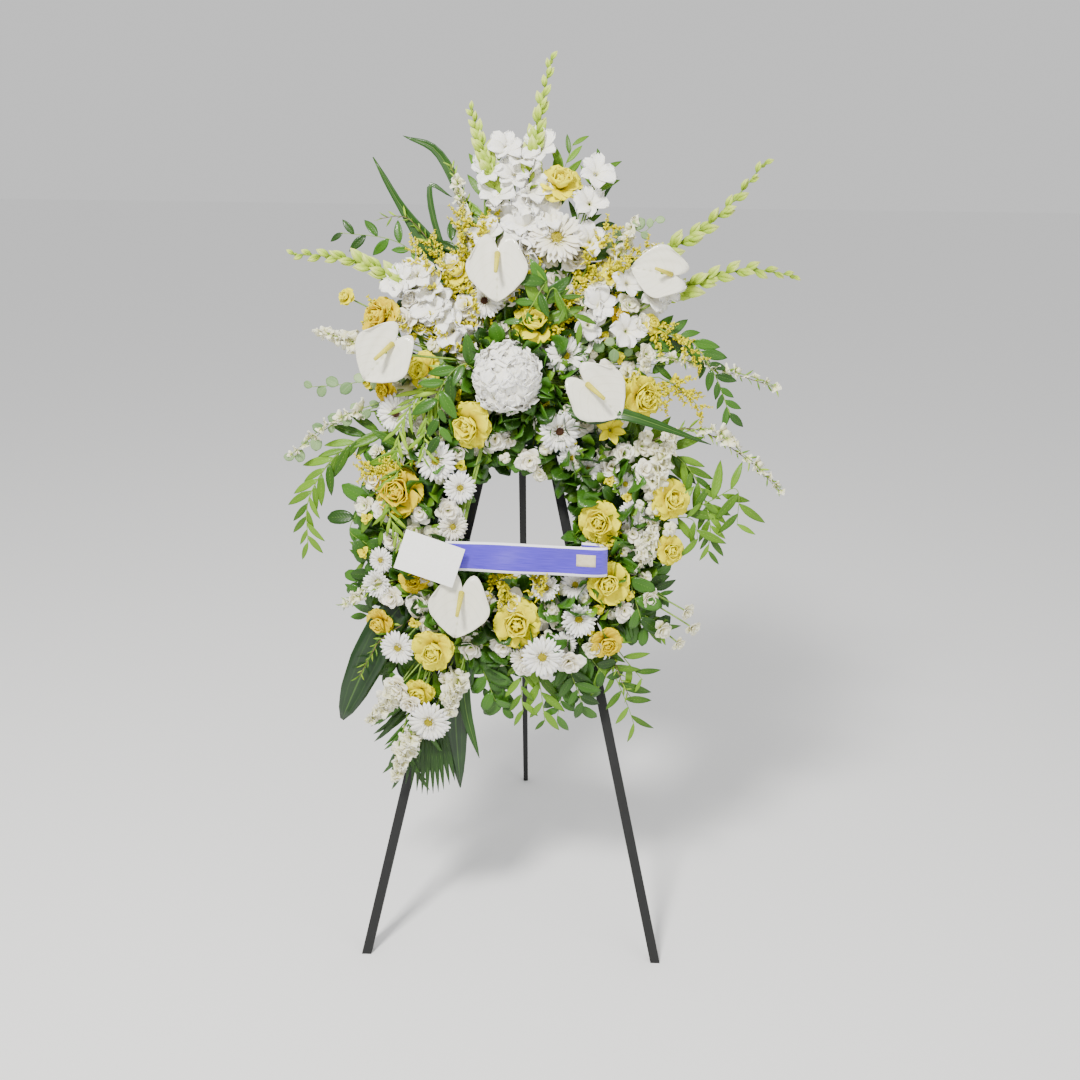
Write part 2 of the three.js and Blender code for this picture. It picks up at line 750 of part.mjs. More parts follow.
// A strap-shaped leaf along a curve: folded along its midrib, widest near its middle, with a pointed tip.
function blade({ path, width }) {
  const curve = curveOf(path);
  const steps = 12;
  const thick = 2.2;
  const strip = new THREE.BoxGeometry(1, thick, 1, 2, 1, steps);
  const places = strip.attributes.position;
  for (let i = 0; i < places.count; i += 1) {
    const t = places.getZ(i) + 0.5;
    const { place, ahead, side } = frameAt(curve, t);
    const normal = ahead.clone().cross(side).normalize();
    const grown = Math.max(0, (t - BLADE_STALK) / (1 - BLADE_STALK));
    const wide = Math.max(4, width * Math.sin(Math.PI * grown ** 0.8));
    const fold = 0.12 * wide * Math.abs(places.getX(i));
    const spot = place.clone().addScaledVector(side, places.getX(i) * wide);
    spot.addScaledVector(normal, places.getY(i) + fold);
    places.setXYZ(i, spot.x, spot.y, spot.z);
  }
  return solid(strip);
}

for (const [name, shape] of Object.entries(spikes)) {
  const colour = name.startsWith('snapdragon') ? colours.snapdragon : colours.gladiolus;
  placed(name, spike(shape), at(...shape.path[0]), colour);
  noteHole(shape.path, 2.8);
}
for (const [name, shape] of Object.entries(branches)) {
  placed(name, branch(shape), at(...shape.path[0]), colours.leaf);
  noteHole(shape.path, 2);
}
for (const [name, shape] of Object.entries(blades)) {
  placed(name, blade(shape), at(...shape.path[0]), colours.leaf);
  noteHole(shape.path, 4);
}

// ---------------------------------------------------------------- the greens behind the flowers

// Leaf tips round a centre: a zigzag outline between angles in degrees, as points of a shape.
function tipsBetween(from, to, tips, reach, notch) {
  const points = [];
  for (let i = 0; i < 2 * tips; i += 1) {
    const degrees = THREE.MathUtils.lerp(from, to, i / (2 * tips));
    const radius = along(reach, degrees) * (i % 2 === 0 ? 1 : notch);
    const angle = THREE.MathUtils.degToRad(degrees);
    points.push(new THREE.Vector2(radius * Math.cos(angle), radius * Math.sin(angle)));
  }
  return points;
}

// A flat leafy layer in the wreath's plane: a shape in (across, up) with its thickness along out.
function layer(shape, centreAcross, centreUp, back, thick) {
  const geometry = new THREE.ExtrudeGeometry(shape, { depth: thick, bevelEnabled: false, curveSegments: 20 });
  geometry.rotateX(Math.PI / 2);
  geometry.translate(centreAcross, -back, centreUp);
  return geometry;
}

// The room a peg needs, with its clearance.
function pegHole(side) {
  const up = pegHeight();
  const place = at(side * legAcross(up), up, 0);
  const rod = new THREE.CylinderGeometry(easel.pegRadius + 2.5, easel.pegRadius + 2.5, 200, 12);
  rod.translate(place.x, place.y, place.z);
  return solid(rod);
}

function collarGreens() {
  const shape = new THREE.Shape(tipsBetween(0, 360, collar.tips, collar.reach, collar.notch));
  const hole = new THREE.Path();
  hole.absarc(0, 0, collar.inner, 0, 2 * Math.PI, true);
  shape.holes.push(hole);
  const leafy = layer(shape, ring.across, ring.up, collar.back, collar.thick);
  return geometryOf(solid(leafy).subtract(pegHole(-1)).subtract(pegHole(1)));
}

function fanGreens() {
  const shape = new THREE.Shape([...tipsBetween(fan.from, fan.to, fan.tips, fan.reach, fan.notch), new THREE.Vector2(0, 0)]);
  return layer(shape, fan.across, fan.up, fan.back, fan.thick);
}

wreathPlane.add(named('greens_collar', collarGreens(), colours.leaf));
wreathPlane.add(named('greens_fan', fanGreens(), colours.leaf));

// ---------------------------------------------------------------- the ribbon and the card

// A band standing on edge: a thin strip along a line of (across, out) points, as tall as the ribbon.
function ribbonBand() {
  const line = new THREE.SplineCurve(ribbon.line.map(([across, out]) => new THREE.Vector2(across, out)));
  const steps = 26;
  const front = [];
  const back = [];
  for (let i = 0; i <= steps; i += 1) {
    const point = line.getPoint(i / steps);
    const ahead = line.getTangent(i / steps);
    const normal = new THREE.Vector2(-ahead.y, ahead.x).multiplyScalar(ribbon.thick / 2);
    front.push(point.clone().add(normal));
    back.unshift(point.clone().sub(normal));
  }
  const band = new THREE.ExtrudeGeometry(new THREE.Shape([...front, ...back]), {
    depth: ribbon.height,
    bevelEnabled: false,
  });
  band.translate(0, 0, -ribbon.height / 2);
  band.scale(1, -1, 1);
  return band;
}

function cardPick() {
  const head = at(card.across, card.up, card.out - card.thick - 4);
  const root = ringRoot(card.across, card.up);
  const path = new THREE.LineCurve3(root, head);
  const plate = new THREE.BoxGeometry(26, 5, 12);
  plate.translate(head.x, -(card.out - card.thick / 2 - GAP - 2.5), head.z);
  const away = root.clone().sub(head).normalize();
  stemHoles.ring.push(stalk(new THREE.LineCurve3(root.clone().addScaledVector(away, GAP), head), 1.8 + GAP, 1));
  return join(stalk(path, 1.8, 1), plate);
}

const band = named('ribbon', geometryOf(solid(ribbonBand())), colours.ribbon);
band.position.copy(at(0, ribbon.up, 0));
wreathPlane.add(band);

const message = named('message_card', new THREE.BoxGeometry(card.width, card.thick, card.height), colours.paper);
message.position.copy(at(card.across, card.up, card.out));
message.rotation.y = -card.turn;
wreathPlane.add(message);
wreathPlane.add(named('card_pick', geometryOf(cardPick()), colours.plasticTray));

// ---------------------------------------------------------------- the foam, pierced by every stem

const pierced = (block, holes) => holes.map(solid).reduce((whole, hole) => whole.subtract(hole), solid(block));

wreathPlane.add(named('ring_tray', ringTray(), colours.plasticTray));
wreathPlane.add(named('foam_ring', geometryOf(pierced(foamRing(), stemHoles.ring)), colours.wetFoam));
wreathPlane.add(named('crest_tray', geometryOf(crestTray()), colours.plasticTray));
wreathPlane.add(
  named('crest_foam', geometryOf(pierced(crestBox(0, crest.back, crest.front), stemHoles.crest)), colours.wetFoam),
);

// ---------------------------------------------------------------- the whole object

// The origin is the middle of the object's footprint, on the floor.
const model = new THREE.Group();
model.add(wreathPlane, rear);
model.updateMatrixWorld(true);
const bounds = new THREE.Box3().setFromObject(model, true);
const middle = bounds.getCenter(new THREE.Vector3());
model.position.set(-middle.x, -middle.y, -bounds.min.z);

export default model;
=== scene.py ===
# %% [markdown]
# # A funeral wreath on its easel
# The real object is a ring of wet floral foam, about half a metre across, into which some hundred cut
# stems are pushed. A second block of foam on its top carries the crest: long gladioli, anthuriums and
# trailing greens. A thin black easel with three legs holds it all, leaning back by twelve degrees.
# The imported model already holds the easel, the foam and a plain solid for each large flower. This lesson
# gives every one of them its petals, and fills the gaps with the small flowers and leaves between them.

# %% Load the frame
import json
import math
import random

import bmesh
import bpy
import numpy as np
from mathutils import Matrix, Vector

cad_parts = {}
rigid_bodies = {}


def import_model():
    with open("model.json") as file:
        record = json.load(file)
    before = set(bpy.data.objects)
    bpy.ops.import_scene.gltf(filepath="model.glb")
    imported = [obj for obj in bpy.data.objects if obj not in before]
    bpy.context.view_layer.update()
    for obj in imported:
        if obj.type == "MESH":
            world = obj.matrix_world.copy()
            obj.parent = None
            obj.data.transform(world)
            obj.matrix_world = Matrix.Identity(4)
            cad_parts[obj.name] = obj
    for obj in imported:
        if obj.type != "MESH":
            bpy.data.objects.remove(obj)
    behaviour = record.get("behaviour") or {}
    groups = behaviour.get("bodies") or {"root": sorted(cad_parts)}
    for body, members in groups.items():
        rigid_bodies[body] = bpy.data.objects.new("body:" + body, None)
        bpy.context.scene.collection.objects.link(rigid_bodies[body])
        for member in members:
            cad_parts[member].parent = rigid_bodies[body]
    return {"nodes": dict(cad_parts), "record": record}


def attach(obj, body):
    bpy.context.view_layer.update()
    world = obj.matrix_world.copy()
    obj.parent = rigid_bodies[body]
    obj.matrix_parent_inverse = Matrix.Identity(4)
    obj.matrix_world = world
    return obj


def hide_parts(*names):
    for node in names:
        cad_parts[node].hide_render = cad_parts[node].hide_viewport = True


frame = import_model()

for spare in [o for o in bpy.data.objects if o.name in ("Cube", "Light", "Camera")]:
    bpy.data.objects.remove(spare)
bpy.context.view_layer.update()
MM = 0.001
WREATH_BODY = "front_frame_and_wreath"
scene = bpy.context.scene

# %% [markdown]
# ## The leaning plane
# The two front legs and the wreath share one plane that leans back. It is easiest to plant the flowers in
# that plane's own terms: across to the right, up along the legs, and out, square to the plane, towards the
# person who looks at it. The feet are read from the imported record, so nothing has to be fitted.

# %% Across, up and out
LEAN = math.radians(12.3)
UP = Vector((0, math.sin(LEAN), math.cos(LEAN)))
OUT = Vector((0, -math.cos(LEAN), math.sin(LEAN)))
ACROSS = Vector((1, 0, 0))

feet = [Vector(m["pos_m"]) for m in frame["record"]["mounts"] if m["name"].startswith("front_foot")]
FOOT_LINE = (feet[0] + feet[1]) / 2
RING_UP, RING_CORE = 911, 200  # the ring's centre up the plane, and the middle of its foam


def spot(across, up, out):
    """A place given in the leaning plane, in millimetres, as a point of the frame."""
    return FOOT_LINE + MM * (across * ACROSS + up * UP + out * OUT)


print("foot line:", [round(v, 3) for v in FOOT_LINE], "ring centre:",
      [round(v, 3) for v in spot(0, RING_UP, 0)])

# %% [markdown]
# ## Camera, floor and light
# The wreath is seen from standing height, two metres in front of it and a little to its right. The light
# is a large soft source from the upper left and a bright plain surround, which keeps the whites clean.

# %% The camera
eye = FOOT_LINE + Vector((0.110, -1.953, 1.600))
pitch, yaw, roll = math.radians(-19.2), math.radians(-1.72), math.radians(0.68)
ahead = Vector((math.sin(yaw) * math.cos(pitch), math.cos(yaw) * math.cos(pitch), math.sin(pitch)))
right = Vector((math.cos(yaw), -math.sin(yaw), 0))
above = right.cross(ahead)
right, above = (
    right * math.cos(roll) + above * math.sin(roll),
    above * math.cos(roll) - right * math.sin(roll),
)
camera = bpy.data.objects.new("camera", bpy.data.cameras.new("camera"))
camera.matrix_world = Matrix.Translation(eye) @ Matrix((right, above, -ahead)).transposed().to_4x4()
camera.data.sensor_width = 36
camera.data.lens = 37.9
camera.data.clip_end = 50
scene.collection.objects.link(camera)
scene.camera = camera
print("camera at", [round(v, 3) for v in eye])

# %% Floor, surround and lamps
world = bpy.data.worlds.new("surround")
scene.world = world
world.use_nodes = True
world.node_tree.nodes["Background"].inputs["Color"].default_value = (1.0, 1.0, 1.0, 1)
world.node_tree.nodes["Background"].inputs["Strength"].default_value = 0.80


def lamp(name, place, target, size, power, colour):
    """A square soft lamp of the given size in metres and power in watts, aimed at the target."""
    data = bpy.data.lights.new(name, "AREA")
    data.size, data.energy, data.color = size, power, colour
    thing = bpy.data.objects.new(name, data)
    aim = (target - place).to_track_quat("-Z", "Y").to_matrix().to_4x4()
    thing.matrix_world = Matrix.Translation(place) @ aim
    scene.collection.objects.link(thing)


middle = spot(0, 1000, 60)
lamp("key", middle + Vector((-0.9, -2.1, 2.6)), middle, 0.6, 200, (1.0, 0.985, 0.94))
lamp("fill", middle + Vector((2.4, -2.2, 0.8)), middle, 2.4, 30, (1.0, 0.99, 0.97))

floor_mesh = bpy.data.meshes.new("floor")
floor_mesh.from_pydata([(-30, -30, 0), (30, -30, 0), (30, 30, 0), (-30, 30, 0)], [], [(0, 1, 2, 3)])
floor = bpy.data.objects.new("floor", floor_mesh)
scene.collection.objects.link(floor)
FLOOR_PAINT = bpy.data.materials.new("pale_floor")
FLOOR_PAINT.use_nodes = True
FLOOR_PAINT.node_tree.nodes["Principled BSDF"].inputs["Base Color"].default_value = (0.94, 0.94, 0.94, 1)
FLOOR_PAINT.node_tree.nodes["Principled BSDF"].inputs["Roughness"].default_value = 0.95
floor.data.materials.append(FLOOR_PAINT)

# %% [markdown]
# ## Finishes
# Petals, leaves and cloth are all soft and slightly rough, and what tells them apart is how their colour
# runs: from a green-tinged foot to a pale rim on a rose, along fine veins on a leaf. Each petal carries
# its own UV map, with v from foot to tip, and a random number called tint that is different on each petal.
# The materials read both, so no two petals are quite alike.


# %% A small kit for materials
def colour(code):
    """A colour from six hex digits, as the linear numbers that a shader wants."""
    channels = [int(code[i : i + 2], 16) / 255 for i in (0, 2, 4)]
    return tuple(c / 12.92 if c <= 0.04045 else ((c + 0.055) / 1.055) ** 2.4 for c in channels) + (1.0,)


def shader(name, average, roughness, **settings):
    """A new material with its Principled shader, whose plain values are set on its own sockets."""
    material = bpy.data.materials.new(name)
    material.use_nodes = True
    material.diffuse_color = colour(average)
    surface = material.node_tree.nodes["Principled BSDF"]
    surface.inputs["Base Color"].default_value = colour(average)
    surface.inputs["Roughness"].default_value = roughness
    for label, value in settings.items():
        surface.inputs[label.replace("_", " ")].default_value = value
    return material, surface


def put(tree, kind, links=None, **settings):
    """Adds a node; links maps input names or numbers to values or to other nodes' outputs."""
    node = tree.nodes.new(kind)
    for label, value in settings.items():
        setattr(node, label, value)
    for key, value in (links or {}).items():
        if isinstance(value, bpy.types.NodeSocket):
            tree.links.new(value, node.inputs[key])
        else:
            node.inputs[key].default_value = value
    return node.outputs


def ramp(tree, factor, stops):
    """A colour ramp through (place, hex colour) stops."""
    node = tree.nodes.new("ShaderNodeValToRGB")
    tree.links.new(factor, node.inputs["Fac"])
    elements = node.color_ramp.elements
    while len(elements) < len(stops):
        elements.new(0.5)
    for element, (place, code) in zip(elements, stops):
        element.position = place
        element.color = colour(code)
    return node.outputs["Color"]


def mixed(tree, factor, first, second, blend="MIX"):
    """Two colours mixed by a factor; each may be a value or another node's output."""
    node = tree.nodes.new("ShaderNodeMix")
    node.data_type, node.blend_type = "RGBA", blend
    for socket, value in zip((node.inputs[0], node.inputs[6], node.inputs[7]), (factor, first, second)):
        if isinstance(value, bpy.types.NodeSocket):
            tree.links.new(value, socket)
        else:
            socket.default_value = value
    return node.outputs[2]


def maths(tree, kind, *numbers, clamp=False):
    """The result of one Math node: kind is its operation, and numbers are its inputs in their order."""
    links = dict(enumerate(numbers))
    return put(tree, "ShaderNodeMath", links, operation=kind, use_clamp=clamp)["Value"]


def bumped(tree, surface, height, strength, distance):
    """Raises the surface where height is high."""
    links = {"Height": height, "Strength": strength, "Distance": distance}
    tree.links.new(put(tree, "ShaderNodeBump", links)["Normal"], surface.inputs["Normal"])


def noise(tree, scale, detail=3.0, vector=None, roughness=0.5):
    """Soft noise in the object's own space, or in the space of the vector given."""
    place = vector or put(tree, "ShaderNodeTexCoord")["Object"]
    links = {"Vector": place, "Scale": scale, "Detail": detail, "Roughness": roughness}
    return put(tree, "ShaderNodeTexNoise", links)["Fac"]


def petal_finish(name, along, veins=40, roughness=0.55, soft=0.15, tint=0.10):
    """A petal: coloured from foot to tip, a little different each time, with fine raised veins."""
    material, surface = shader(name, along[len(along) // 2][1], roughness)
    tree = material.node_tree
    uv = put(tree, "ShaderNodeTexCoord")["UV"]
    split = put(tree, "ShaderNodeSeparateXYZ", {"Vector": uv})
    random_tint = put(tree, "ShaderNodeAttribute", attribute_name="tint")["Fac"]
    shifted = maths(tree, "MULTIPLY_ADD", random_tint, 0.16, -0.08)
    base = ramp(tree, maths(tree, "ADD", split["Y"], shifted, clamp=True), along)
    stretch = put(tree, "ShaderNodeMapping", {"Vector": uv, "Scale": (veins, 3.0, 1.0)})["Vector"]
    streak = noise(tree, 1.0, 2.0, stretch)
    dark = mixed(tree, maths(tree, "MULTIPLY", random_tint, tint), base, colour("c8b890"), "MULTIPLY")
    tree.links.new(dark, surface.inputs["Base Color"])
    surface.inputs["Specular IOR Level"].default_value = 0.2
    surface.inputs["Subsurface Weight"].default_value = soft
    surface.inputs["Subsurface Radius"].default_value = (0.6, 0.6, 0.3)
    surface.inputs["Subsurface Scale"].default_value = 0.002
    bumped(tree, surface, streak, 0.25, 0.0006)
    return material


def leaf_finish(name, deep, pale, vein, roughness=0.42, ribs=9.0, coat=0.0):
    """A leaf: a pale midrib, faint side veins, blotches, and a different green on each leaf."""
    material, surface = shader(name, pale, roughness, Coat_Weight=coat, Specular_IOR_Level=0.3)
    tree = material.node_tree
    uv = put(tree, "ShaderNodeTexCoord")["UV"]
    split = put(tree, "ShaderNodeSeparateXYZ", {"Vector": uv})
    random_tint = put(tree, "ShaderNodeAttribute", attribute_name="tint")["Fac"]
    blotch = noise(tree, 22.0, 3.0)
    own_green = maths(tree, "MULTIPLY", random_tint, 0.6)
    mixture = maths(tree, "ADD", own_green, maths(tree, "MULTIPLY", blotch, 0.4))
    green = ramp(tree, mixture, [(0.22, deep), (0.80, pale)])
    off_centre = maths(tree, "ABSOLUTE", maths(tree, "SUBTRACT", split["X"], 0.5))
    falling_back = maths(tree, "MULTIPLY", off_centre, -4.0)
    slant = maths(tree, "ADD", maths(tree, "MULTIPLY", split["Y"], ribs), falling_back)
    side_veins = maths(tree, "PINGPONG", slant, 0.5)
    rib = maths(tree, "SUBTRACT", 1.0, maths(tree, "MULTIPLY", off_centre, 22.0), clamp=True)
    faint = maths(tree, "SUBTRACT", 0.28, maths(tree, "MULTIPLY", side_veins, 2.4))
    line = maths(tree, "ADD", rib, faint, clamp=True)
    veined = mixed(tree, maths(tree, "MULTIPLY", line, 0.42), green, colour(vein))
    tree.links.new(veined, surface.inputs["Base Color"])
    bumped(tree, surface, line, 0.35, 0.0012)
    return material


def plain_finish(name, dark, light, roughness, scale, strength=0.3, depth=0.001, stretch=(1, 1, 1),
                 **settings):
    """Anything speckled or grained: two colours mixed by noise, and the same noise as its bump."""
    material, surface = shader(name, light, roughness, **settings)
    tree = material.node_tree
    own_space = put(tree, "ShaderNodeTexCoord")["Object"]
    place = put(tree, "ShaderNodeMapping", {"Vector": own_space, "Scale": stretch})["Vector"]
    grain = noise(tree, scale, 5.0, place, 0.62)
    tree.links.new(ramp(tree, grain, [(0.32, dark), (0.68, light)]), surface.inputs["Base Color"])
    links = {"Value": grain, "To Min": roughness - 0.08, "To Max": roughness + 0.1}
    tree.links.new(put(tree, "ShaderNodeMapRange", links)["Result"], surface.inputs["Roughness"])
    bumped(tree, surface, grain, strength, depth)
    return material


# %% The finishes themselves
ROSE = petal_finish(
    "rose_petal", [(0.0, "a09a00"), (0.30, "e6d600"), (0.72, "f0e400"), (1.0, "f6ee24")], 30, 0.5
)
ROSE_GOLD = petal_finish(
    "rose_petal_gold", [(0.0, "8a7c00"), (0.35, "ceb200"), (0.75, "dfc500"), (1.0, "ead400")], 30, 0.5
)
WHITE = petal_finish("white_petal", [(0.0, "dedca0"), (0.22, "f8f6ea"), (1.0, "fdfdfa")], 26, 0.5, tint=0.15)
CREAM = petal_finish("cream_petal", [(0.0, "d4d080"), (0.35, "f6f1d8"), (1.0, "fcf9ee")], 24, 0.6, tint=0.2)
IVORY = petal_finish("ivory_petal", [(0.0, "bcc862"), (0.3, "eeecc0"), (1.0, "f9f8e6")], 24, 0.6, tint=0.25)
SPATHE = leaf_finish("anthurium_spathe", "ece9d8", "faf9f2", "9da05c", 0.28, ribs=7.0, coat=0.3)
PALE_GREEN = petal_finish("gladiolus_bud", [(0.0, "6f9018"), (0.5, "aac63c"), (1.0, "dce88a")], 18, 0.5,
                          tint=0.3)
GOLDEN = petal_finish("goldenrod", [(0.0, "a09a00"), (0.5, "dcd200"), (1.0, "f0e800")], 5, 0.7, tint=0.35)
LEAF = leaf_finish("leaf", "2c5406", "6a961c", "9dbb52", 0.40)
DARK_LEAF = leaf_finish("dark_leaf", "1a3a07", "3f6f18", "6c9438", 0.36, coat=0.1)
FRESH_LEAF = leaf_finish("fresh_leaf", "5c8610", "9cc02c", "c8dc78", 0.42)
GREY_LEAF = leaf_finish("grey_leaf", "5c7f4a", "93ad78", "c3d3a4", 0.5)
BLADE = leaf_finish("blade_leaf", "1f4608", "4a7a1c", "86aa48", 0.36, ribs=0.0, coat=0.15)
DEEP_BLADE = leaf_finish("deep_blade_leaf", "12300a", "2c5a16", "5b8434", 0.28, ribs=0.0, coat=0.35)
STEM = plain_finish("stem", "4c7018", "8fb03c", 0.5, 90.0, 0.2, 0.0005)
WOODY = plain_finish("woody_stem", "4a3a26", "7b6847", 0.7, 120.0, 0.4, 0.0006)
BROWN_EYE = plain_finish("gerbera_eye", "2e1a10", "6a4022", 0.8, 400.0, 0.6, 0.001)
YELLOW_EYE = plain_finish("yellow_eye", "988c10", "d8cc30", 0.7, 400.0, 0.6, 0.001)
SPADIX = plain_finish("spadix", "b4a820", "e6dc50", 0.6, 700.0, 0.8, 0.0008)
print("materials:", len(bpy.data.materials))

# %% [markdown]
# ## Petals and leaves as thin sheets
# A petal is half a millimetre thick, so it is built as a grid of points given two faces and an edge. The
# grid follows a rule with a few numbers: its outline, how far it curls along its length, how deep it cups
# across its width, and how much its rim ruffles. Every petal grows along +Z from its foot, is as wide as
# Y, and shows its inner face to -X. That makes one rule good for roses, gerberas and leaves alike.


# %% Grids to closed sheets
def sheet_mesh(name, rows, thickness, material):
    """A closed thin sheet on a grid of points, with UVs: u across the grid, v along it."""
    grid = np.array(rows, dtype=float)
    along, across = grid.shape[:2]
    down = np.gradient(grid, axis=0)
    over = np.gradient(grid, axis=1)
    normal = np.cross(over, down)
    normal /= np.maximum(np.linalg.norm(normal, axis=2, keepdims=True), 1e-12)
    lift = normal * thickness / 2
    points = np.concatenate([(grid + lift).reshape(-1, 3), (grid - lift).reshape(-1, 3)])
    half = along * across
    faces = []
    for i in range(along - 1):
        for j in range(across - 1):
            a, b, c, d = (i * across + j, i * across + j + 1, (i + 1) * across + j + 1, (i + 1) * across + j)
            faces.append((a, b, c, d))
            faces.append((half + d, half + c, half + b, half + a))
    rim = [(0, j) for j in range(across)] + [(i, across - 1) for i in range(1, along)]
    rim += [(along - 1, j) for j in range(across - 2, -1, -1)] + [(i, 0) for i in range(along - 2, 0, -1)]
    for (i0, j0), (i1, j1) in zip(rim, rim[1:] + rim[:1]):
        a, b = i0 * across + j0, i1 * across + j1
        faces.append((b, a, half + a, half + b))
    mesh = bpy.data.meshes.new(name)
    mesh.from_pydata(points.tolist(), [], faces)
    uv = mesh.uv_layers.new(name="UVMap")
    index = np.empty(len(mesh.loops), dtype=np.int32)
    mesh.loops.foreach_get("vertex_index", index)
    index %= half
    pairs = np.stack([(index % across) / (across - 1), (index // across) / (along - 1)], axis=1)
    uv.data.foreach_set("uv", pairs.astype(np.float32).ravel())
    mesh.polygons.foreach_set("use_smooth", [True] * len(mesh.polygons))
    mesh.materials.append(material)
    return mesh


def petal_rows(length, width, outline, curl=0.0, cup=0.0, ruffle=0.0, waves=3.0, steps=(6, 4), fold=0.0):
    """The grid of a petal or leaf. outline is (share of length, share of width) pairs."""
    shares, widths = zip(*outline)
    along, across = steps
    rows, x, z = [], 0.0, 0.0
    for i in range(along + 1):
        s = i / along
        half = width / 2 * float(np.interp(s, shares, widths))
        bend = curl * s**1.4
        if i:
            x += math.sin(bend) * length / along
            z += math.cos(bend) * length / along
        row = []
        for j in range(across + 1):
            t = 2 * j / across - 1
            wave = ruffle * s * s * math.sin(waves * math.pi * t + 5 * s)
            lift = cup * half * t * t + fold * half * abs(t) - wave
            row.append((x - math.cos(bend) * lift, half * t, z + math.sin(bend) * lift))
        rows.append(row)
    return rows


ROUND = [(0, 0.22), (0.15, 0.50), (0.40, 0.88), (0.65, 1.0), (0.85, 0.88), (0.95, 0.62), (1, 0.30)]
STRAP = [(0, 0.35), (0.25, 0.78), (0.55, 1.0), (0.80, 0.92), (0.93, 0.62), (1, 0.16)]
POINTED = [(0, 0.12), (0.15, 0.62), (0.38, 1.0), (0.62, 0.86), (0.84, 0.46), (1, 0.03)]
SPEAR = [(0, 0.30), (0.3, 0.85), (0.55, 1.0), (0.8, 0.66), (0.93, 0.3), (1, 0.03)]
ROUNDED_LEAF = [(0, 0.14), (0.12, 0.6), (0.35, 0.96), (0.6, 1.0), (0.82, 0.76), (0.95, 0.4), (1, 0.12)]
print("a petal outline has", len(ROUND), "points, and its grid", len(petal_rows(1, 1, ROUND)), "rows")

# %% [markdown]
# ## Growing things with Geometry Nodes
# Three habits of growth cover nearly all of the wreath. Petals stand in a whorl, each turned by the same
# angle from the one before. Leaves and buds follow a stalk, on one side and then on the other. Greens
# cover the foam at random. Each habit is one node tree, whose inputs are its sizes, so that a rose, a
# gerbera and a hydrangea are the same tree with other numbers.


# %% Trees and their inputs
def new_tree(name, inputs):
    """An empty Geometry Nodes tree with named inputs, and its first and last nodes."""
    tree = bpy.data.node_groups.new(name, "GeometryNodeTree")
    tree.interface.new_socket(name="Geometry", in_out="INPUT", socket_type="NodeSocketGeometry")
    tree.interface.new_socket(name="Geometry", in_out="OUTPUT", socket_type="NodeSocketGeometry")
    for label, kind, value in inputs:
        socket = tree.interface.new_socket(name=label, in_out="INPUT", socket_type="NodeSocket" + kind)
        if value is not None:
            socket.default_value = value
    return tree, tree.nodes.new("NodeGroupInput").outputs


def chance(tree, low, high, seed, shift):
    """A random number per point between low and high; shift keeps several draws apart."""
    links = {2: low, 3: high, 8: maths(tree, "ADD", seed, float(shift))}
    return put(tree, "FunctionNodeRandomValue", links, data_type="FLOAT")[1]


def between(tree, share, first, last):
    """A number that runs from first to last as share runs from 0 to 1."""
    links = {"Value": share, "To Min": first, "To Max": last}
    return put(tree, "ShaderNodeMapRange", links, clamp=True)["Result"]


def with_tint(tree, instances, seed):
    """Stores a random number on each instance, under the name tint."""
    links = {"Geometry": instances, "Name": "tint", "Value": chance(tree, 0.0, 1.0, seed, 9)}
    return put(tree, "GeometryNodeStoreNamedAttribute", links, data_type="FLOAT",
               domain="INSTANCE")["Geometry"]


def realized(tree, instances, material):
    """Turns instances into real geometry and sets its material, because an export drops instances."""
    real = put(tree, "GeometryNodeRealizeInstances", {"Geometry": instances})[0]
    return put(tree, "GeometryNodeSetMaterial", {"Geometry": real, "Material": material})[0]


def stalk_tube(tree, first, last, material):
    """A closed round stalk along the tree's own line, tapering from first to last, and its line."""
    path = put(tree, "GeometryNodeMeshToCurve", {0: tree.nodes["Group Input"].outputs["Geometry"]})[0]
    factor = put(tree, "GeometryNodeSplineParameter")["Factor"]
    circle = put(tree, "GeometryNodeCurvePrimitiveCircle", {"Resolution": 6, "Radius": 1.0}, mode="RADIUS")[0]
    thick = between(tree, factor, first, last)
    links = {"Curve": path, "Profile Curve": circle, "Scale": thick, "Fill Caps": True}
    tube = put(tree, "GeometryNodeCurveToMesh", links)[0]
    return put(tree, "GeometryNodeSetMaterial", {"Geometry": tube, "Material": material})[0], path


def finished(tree, geometry):
    """Links the last geometry to the tree's output."""
    out = tree.nodes.new("NodeGroupOutput")
    tree.links.new(geometry, out.inputs["Geometry"])
    return tree


def grown(tree, start, **inputs):
    """The plain mesh that a tree makes; inputs are its labels with _ for a space."""
    host = bpy.data.objects.new("grower", start)
    scene.collection.objects.link(host)
    modifier = host.modifiers.new("growth", "NODES")
    modifier.node_group = tree
    labels = {
        item.name: item.identifier
        for item in tree.interface.items_tree
        if item.item_type == "SOCKET" and item.in_out == "INPUT"
    }
    for label, value in inputs.items():
        modifier[labels[label.replace("_", " ")]] = value
    graph = bpy.context.evaluated_depsgraph_get()
    mesh = bpy.data.meshes.new_from_object(
        host.evaluated_get(graph), preserve_all_data_layers=True, depsgraph=graph
    )
    bpy.data.objects.remove(host)
    return mesh


samples = []


def sample(mesh):
    """A shape that trees can plant, kept as an object until the end."""
    thing = bpy.data.objects.new("sample_" + mesh.name, mesh)
    scene.collection.objects.link(thing)
    samples.append(thing)
    return thing


def petal_sample(name, thickness, material, *shape):
    """A petal that trees can plant; shape is what petal_rows takes."""
    return sample(sheet_mesh(name, petal_rows(*shape), thickness, material))


def ball(name, radius, material):
    """A plain round mesh, for the inside of a head."""
    mesh = bpy.data.meshes.new(name)
    build = bmesh.new()
    bmesh.ops.create_icosphere(build, subdivisions=2, radius=radius)
    build.to_mesh(mesh)
    build.free()
    mesh.materials.append(material)
    return mesh


